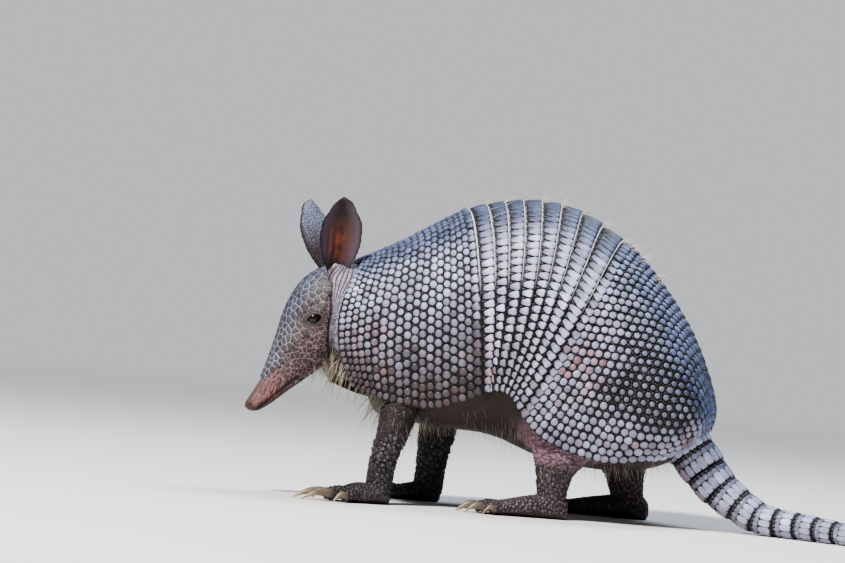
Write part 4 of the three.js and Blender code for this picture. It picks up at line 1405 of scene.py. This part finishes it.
tail = {
    "x": [133, 145, 157, 171.5, 188, 214, 246, 275, 300, 317, 326],
    "y": [0, 0, -1, -3, -7, -16, -31, -52, -79, -110, -141],
    "z": [55, 40.5, 27.2, 17.2, 9.9, 8.3, 6.8, 5.4, 4, 2.6, 1.3],
    "radius": [15.5, 14.6, 13, 11.4, 9.9, 8.3, 6.8, 5.4, 4, 2.6, 1.3],
}
tailRings = {
    "count": 11, "firstEnd": 9, "length": 15.5, "shorter": 0.25, "gap": 0.6, "taper": 1.15, "sunk": 0.55,
    "scute": 0.95, "pitch": ([0, 4, 10], [5.2, 4.2, 2.4]), "endPitch": ([5, 8, 10], [3.6, 2.8, 1.6]),
    # each row's place, length, share of the pitch, stagger, kind and light
    "rows": [(0.1, 0.22, 0.7, 0.5, 0, 0.42), (0.29, 0.28, 0.72, 0, 1, 0.68), (0.7, 0.62, 1, 0.25, 1, 1.25)],
    "firstRow": [(0.7, 0.8, 1, 0.25, 1, 1.25)],
}


def tailMiddle(t):
    return stack(*(through(tail[key], t) for key in "xyz"))


def tailSurface(t, v, lift=0.0):  # v goes once round, from the top
    forward = unit(tailMiddle(t + 0.01) - tailMiddle(t - 0.01))
    across = unit(np.cross(np.array([0.0, 0, 1]), forward))
    up = np.cross(forward, across)
    angle = (math.pi / 2 - 2 * math.pi * np.asarray(v))[..., None]
    r = (through(tail["radius"], t) + lift)[..., None]
    return place(tailMiddle(t) + across * r * np.cos(angle) + up * r * np.sin(angle))


def tailLength(t0, t1):
    return length(tailMiddle(t1) - tailMiddle(t0))


def tailStations():  # where each ring starts and ends
    ts = np.linspace(0, 10, 1001)
    gone = summed(length(np.diff(tailMiddle(ts), axis=0)))
    ends = [0, tailRings["firstEnd"]]
    for i in range(1, tailRings["count"]):
        ends.append(ends[-1] + tailRings["length"] - i * tailRings["shorter"])
    return np.interp(ends, gone, ts), np.interp(np.array(ends[1:]) - tailRings["gap"], gone, ts)


def tailHorn(name, t0, t1, rows, taper, replaced):
    def surface(u, v):
        lift = -taper * (1 - u) - tailRings["sunk"] * (1 - 0.7 * smooth(0.93, 1.0, u) * (taper > 0))
        return tailSurface(mix(t0, t1, u), v, lift)

    bm = bmesh.new()
    addSheet(bm, surface, rows, 72, closed=True, ends=True)
    link(name, toMesh(bm, name), plateHorn, "shell", [replaced])


def tailRow(t0, t1, at, long, pitch, stagger, taper, kind, light):
    # one ring of scutes, with so many of them that each is about as wide as the pitch
    t = mix(t0, t1, at)
    reach = float(through(tail["radius"], t))
    count = max(6, int(round(2 * math.pi * reach / pitch)))
    v = (np.arange(count) + stagger + random.normal(0, 0.03, count)) / count % 1
    fromTop = np.minimum(v, 1 - v)
    under, top = smooth(0.3, 0.42, fromTop), smooth(0.16, 0.05, fromTop)
    size = stack(
        tailLength(t0, t1) * long * random.normal(1, 0.04, count),
        2 * math.pi * reach / count * mix(1.02, 1.12, kind) * random.normal(1, 0.03, count),
        tailRings["scute"] * min(1, 0.35 + reach / 12),
    )
    looks = {
        # back: a painted blue sky reflection on the tail's top, stronger on its darker rows
        "tone": light * spread(1.12, 0.1, count, 0.7, 1.4), "back": (1.3 - 0.8 * light) * top,
        # low: browner colour with painted shade on the tail's underside
        "low": np.clip(0.12 + 0.3 * under + random.normal(0, 0.08, count), 0, 1),
        "blush": np.clip(under * 0.8 * (1 - t / 6) + random.normal(0, 0.08, count), 0, 1),
    }
    sunk = -taper * (1 - at) - tailRings["sunk"]
    return spotsOn(lambda u, v: tailSurface(u, v, sunk), np.full(count, t), v, size, kind,
                   lambda u, v: (0.05 + 0.9 * u / 10, v), **looks)


def buildTail():
    starts, stops = tailStations()
    taper, spots = tailRings["taper"], []
    for i, (t0, t1) in enumerate(zip(starts, stops)):
        tailHorn(f"tail_plate_{i + 1}", t0, t1, 16, taper, f"tail_ring_{i + 1}")
        pitch = float(np.interp(t0, *tailRings["pitch"]))
        for at, long, share, stagger, kind, light in tailRings["rows" if i else "firstRow"]:
            spots.append(tailRow(t0, t1, at, long, pitch * share, stagger, taper, kind, light))
    tailHorn("tail_end", starts[-1], 10, 60, 0, "tail_tip")
    t, row = starts[-1], 0
    while t < 9.75:
        pitch = float(np.interp(t, *tailRings["endPitch"]))
        step = pitch * 1.25 / tailLength(t - 0.05, t + 0.05) * 0.1
        spots.append(tailRow(t, t + step, 0.5, 1.08, pitch, 0.5 * (row % 2), 0, 1, 0.9))
        t, row = t + step * 0.96, row + 1
    scatter("tail_scutes", [bandWedge, tailScute], spots, hornScutes, "shell")


block = [(0.5, -0.4, 0), (0.49, 0.35, 0.25), (0.45, 0.8, 0.75), (0.3, 1, 1)]
tailScute = template("tailScute", 12, block, squared(0.26, 0.26, 1, 0.97, 0.95, 0.5))

# scales of the legs, and hair


def skinSpots():  # the skin's faces: their middles in the scene and in the body, normals and areas
    faces = skinPiece.data.polygons
    middle, area = perPoint(faces, "center"), np.empty(len(faces), np.float32)
    faces.foreach_get("area", area)
    return middle, straighten(middle / mm - shift), perPoint(faces, "normal"), area.astype(float)


def apart(points, gaps):  # drops every point that has an earlier one too near it
    tree = treeOf(points.tolist())
    kept = np.ones(len(points), bool)
    for i, (spot, gap) in enumerate(zip(points.tolist(), gaps.tolist())):
        if kept[i]:
            for _, other, _ in tree.find_range(spot, gap):
                if other > i:
                    kept[other] = False
    return kept


def skinRoot(p):  # the skin's own unwrap: each side of the body laid flat
    side = np.sign(p[:, 1]) + (p[:, 1] == 0)
    return stack((p[:, 0] + 160) / 320, 0.5 + side * (0.02 + 0.44 * p[:, 2] / 200), 0 * side)


legScales = {"top": (25, 42), "size": (3.0, 2.2), "apart": 0.86, "tall": 0.62, "light": (1.15, 0.75)}


def buildLegScales():
    s = legScales
    middle, p, facing, _ = skinSpots()
    onLeg, which = legAt(p)
    top = np.where(which >= 2, *s["top"]) + 3 * np.sin(p[:, 0] * 0.5)
    wanted = (onLeg > 0.9) & (p[:, 2] < top) & (p[:, 2] > 1.5) & (facing[:, 2] > -0.5)
    chosen = random.permutation(np.nonzero(wanted)[0])
    size = mix(*s["size"], smooth(22, 6, p[chosen, 2])) * random.normal(1, 0.08, len(chosen))
    kept = apart(middle[chosen], size * s["apart"] * mm)
    chosen, size = chosen[kept], size[kept]
    count, out, hind = len(chosen), facing[chosen], which[chosen] >= 2
    down = stack(-0.8 * smooth(16, 8, p[chosen, 2]), 0, -1)
    spots = {
        "at": middle[chosen] - out * 0.15 * mm, "facing": out, "heading": squareTo(out, down),
        "size": stack(size * 1.15, size * 0.98, s["tall"]) * mm, "root": skinRoot(p[chosen]),
        "kind": np.zeros(count), "tone": spread(0.42, 0.09, count, 0.25, 0.8) * np.where(hind, *s["light"]),
        "back": np.zeros(count), "low": np.clip(0.75 + random.normal(0, 0.1, count), 0, 1),
        "blush": np.clip(random.normal(0.12, 0.1, count) + 0.3 * hind, 0, 1),
    }
    scatter("leg_scales", [pebbleScale], [spots], hornScutes, "skin")


pebble = [(0.5, -0.3, 0.1), (0.47, 0.35, 0.45), (0.3, 0.95, 1)]
pebbleScale = template("pebbleScale", 8, pebble, squared(0.12, 0.26, 2, 0.96, 0.96, 0.34))


def bent(co):
    return (co.x + 0.24 * co.z * co.z, co.y, co.z)


hairRings = [
    (0.011, -0.05, 0), (0.0105, 0.22, 0.3), (0.0095, 0.45, 0.5),
    (0.0075, 0.65, 0.7), (0.005, 0.85, 0.9), (0.001, 1, 1),
]
hair = template("hair", 3, hairRings, tip=bent)


def hairSpots(density, long, lean, wanted):
    # hairs on the skin where wanted gives a share of the full density, per square millimetre
    middle, p, facing, area = skinSpots()
    chance = wanted(p, facing) * area / mm / mm * density
    chosen = np.nonzero(random.uniform(0, 1, len(chance)) < chance)[0]
    count = len(chosen)
    way = unit(facing[chosen] * 0.55 + np.array(lean) + random.normal(0, 0.16, (count, 3)))
    drop = np.array([0.12, 0, -1.0]) + random.normal(0, 0.25, (count, 3))
    size = long * spread(1, 0.22, count, 0.45, 1.6)
    return {
        "at": middle[chosen], "facing": way, "heading": squareTo(way, drop), "kind": np.zeros(count),
        "size": stack(size, size, size) * mm, "root": skinRoot(p[chosen]),
        "tone": spread(1, 0.16, count, 0.5, 1.4),
    }


ridgeHair = {"onRump": [7.25, 7.6, 8.1], "count": (12, 24), "long": (6.6, 1.6, 3, 9.5), "thick": 1.7}


def ridgeHairs():  # short curled ones along the rear edges of the bands, by the ridge
    h, t, side = ridgeHair, [], []
    span = (shell["bandTo"] - shell["bandFrom"]) / shell["bands"]
    edges = [shell["bandFrom"] + span * i for i in range(shell["bands"] + 1)] + h["onRump"]
    for i, edge in enumerate(edges):
        count = h["count"][i > 3]
        t.append(edge - shell["slit"] - 0.03 + random.normal(0, 0.012, count))
        side.append(random.normal(0, 0.1, count))
    t, side = np.concatenate(t), np.concatenate(side)
    count = len(t)
    long = spread(*h["long"][:2], count, *h["long"][2:])
    size = stack(h["thick"] * long, h["thick"] * long, long)
    tone = spread(1.25, 0.1, count, 0.9, 1.5)
    spots = spotsOn(lambda u, v: shellAt(u, v, -0.6), t, side, size, 0, shellRoot, tone=tone)
    back = spots["heading"] * random.uniform(0.2, 1.1, count)[:, None]
    way = unit(spots["facing"] + back + random.normal(0, 0.3, (count, 3)))
    turn = random.normal(0, 1, (count, 3)) + np.array([1.2, 0, -0.6])
    spots["facing"], spots["heading"] = way, squareTo(way, turn)
    return spots


def buildHair():
    s = Shader("hairs", 0.45, Specular_IOR_Level=0.4)
    colour = s.blend(s.between(s.value("tone"), 0.5, 1.4), (0.30, 0.235, 0.14), (0.82, 0.76, 0.62))
    colour = s.blend(s.between(s.value("crown"), 0, 0.5, 0.45, 0), colour, (0.22, 0.17, 0.12))

    def chest(p, out):
        inFront = smooth(-32, -46, p[:, 0]) * smooth(-112, -100, p[:, 0])
        low = smooth(88, 78, p[:, 2]) * smooth(0.1, -0.4, out[:, 2])
        return inFront * low * (legAt(p)[0] < 0.3) * (headAt(p)[4] < 0.5)

    def chin(p, out):
        along, _, around, _, onHead = headAt(p)
        return onHead * smooth(2.0, 2.5, np.abs(around)) * smooth(48, 36, along)

    def belly(p, out):
        under = smooth(-45, -35, p[:, 0]) * smooth(66, 60, p[:, 2]) * smooth(0.1, -0.3, out[:, 2])
        return (legAt(p)[0] < 0.5) * under * smooth(-0.15, 0.35, lumps(p, 0.09))

    def thighs(p, out):
        return legAt(p)[0] * smooth(18, 30, p[:, 2]) * smooth(80, 60, p[:, 2])

    tufts = (  # how many to a square millimetre, how long, which way and where
        (0.42, 13, (-0.25, 0, -0.75), chest), (0.30, 7.5, (-0.25, 0, -0.75), chin),
        (0.16, 7.5, (0.3, 0, -0.55), belly), (0.035, 5, (0.1, 0, -0.9), thighs),
    )
    scatter("hair", [hair], [*(hairSpots(*tuft) for tuft in tufts), ridgeHairs()], s.finish(colour), "skin")


buildEyes()
buildHeadArmour()
buildEars()
buildClaws()
print("stage: head, ears and claws")
buildTail()
print("stage: tail")
buildLegScales()
buildHair()
print("stage: scales and hair")

# the floor, the light and the camera

studio = {
    "floor": (0.80, 0.79, 0.77), "air": 0.12, "seen": 0.62, "sky": (0.88, 0.90, 0.93), "fade": (0.7, 2.4),
    "reach": 30, "aim": (0, 0, 0.08),
    "lights": {  # power, place, size and colour
        "key": (78, (-0.85, -1.05, 1.75), 0.4, (1.0, 0.97, 0.93)),
        "fill": (4, (1.7, -1.7, 0.8), 1.5, (0.92, 0.95, 1.0)),
        "top": (26, (0.6, 0.7, 1.7), 0.9, (0.80, 0.88, 1.0)),
    },
}
view = {
    "at": (-38.75, -3000, 160), "look": (-38.75, 0, 139.4), "roll": 5,
    "pixelsWide": 845, "focalPixels": 4762, "sensor": 36,
}


def areaLight(name, power, at, size, colour):
    light = bpy.data.lights.new(name, "AREA")
    light.energy, light.size, light.color, light.shape = power, size, colour, "DISK"
    lamp = bpy.data.objects.new(name, light)
    lamp.location = at
    lamp.rotation_euler = (Vector(studio["aim"]) - Vector(at)).to_track_quat("-Z", "Y").to_euler()
    scene.collection.objects.link(lamp)


def buildStudio():
    bm = bmesh.new()
    bmesh.ops.create_grid(bm, x_segments=1, y_segments=1, size=studio["reach"])
    s = Shader("floorPaint", 0.85)
    # further off, the floor gives way to the backdrop's own glow
    seen = s.add("ShaderNodeLightPath").outputs["Is Camera Ray"]
    strength = s.between(seen, 0, 1, studio["air"], studio["seen"])
    glow = s.add("ShaderNodeEmission", {"Color": studio["sky"], "Strength": strength})
    away = s.add("ShaderNodeVectorMath", {0: s.coordinates}, operation="LENGTH").outputs["Value"]
    share = s.between(away, *studio["fade"])
    both = s.add("ShaderNodeMixShader", {0: share, 1: s.surface.outputs[0], 2: glow.outputs[0]})
    feed(s.links, s.nodes["Material Output"].inputs["Surface"], both.outputs[0])
    link("floor", toMesh(bm, "floor", False), s.finish(studio["floor"]))
    for name, light in studio["lights"].items():
        areaLight(name, *light)
    world = bpy.data.worlds.new("studioAir")
    world.use_nodes = True
    nodes, links = world.node_tree.nodes, world.node_tree.links
    air, strength = nodes["Background"], nodes.new("ShaderNodeMapRange")
    feed(links, air.inputs["Color"], studio["sky"])
    feed(links, strength.inputs["To Min"], studio["air"])
    feed(links, strength.inputs["To Max"], studio["seen"])  # the backdrop is paler than its light
    feed(links, strength.inputs["Value"], nodes.new("ShaderNodeLightPath").outputs["Is Camera Ray"])
    feed(links, air.inputs["Strength"], strength.outputs["Result"])
    scene.world = world
    scene.view_settings.look = "AgX - Medium High Contrast"


def buildCamera():
    at, look = (np.array(view[key]) + shift for key in ("at", "look"))
    forward = Vector(look - at).normalized()
    right = Vector((1, 0, 0))
    up = right.cross(forward).normalized()
    c, s = math.cos(math.radians(view["roll"])), math.sin(math.radians(view["roll"]))
    data = bpy.data.cameras.new("camera")
    data.sensor_fit, data.sensor_width = "HORIZONTAL", view["sensor"]
    data.lens = view["sensor"] * view["focalPixels"] / view["pixelsWide"]
    data.clip_end = 100
    camera = bpy.data.objects.new("camera", data)
    turn = Matrix((c * right + s * up, c * up - s * right, -forward)).transposed().to_4x4()
    camera.matrix_world = Matrix.Translation(Vector(at * mm)) @ turn
    scene.collection.objects.link(camera)
    scene.camera = camera


buildStudio()
buildCamera()
print("stage: studio")
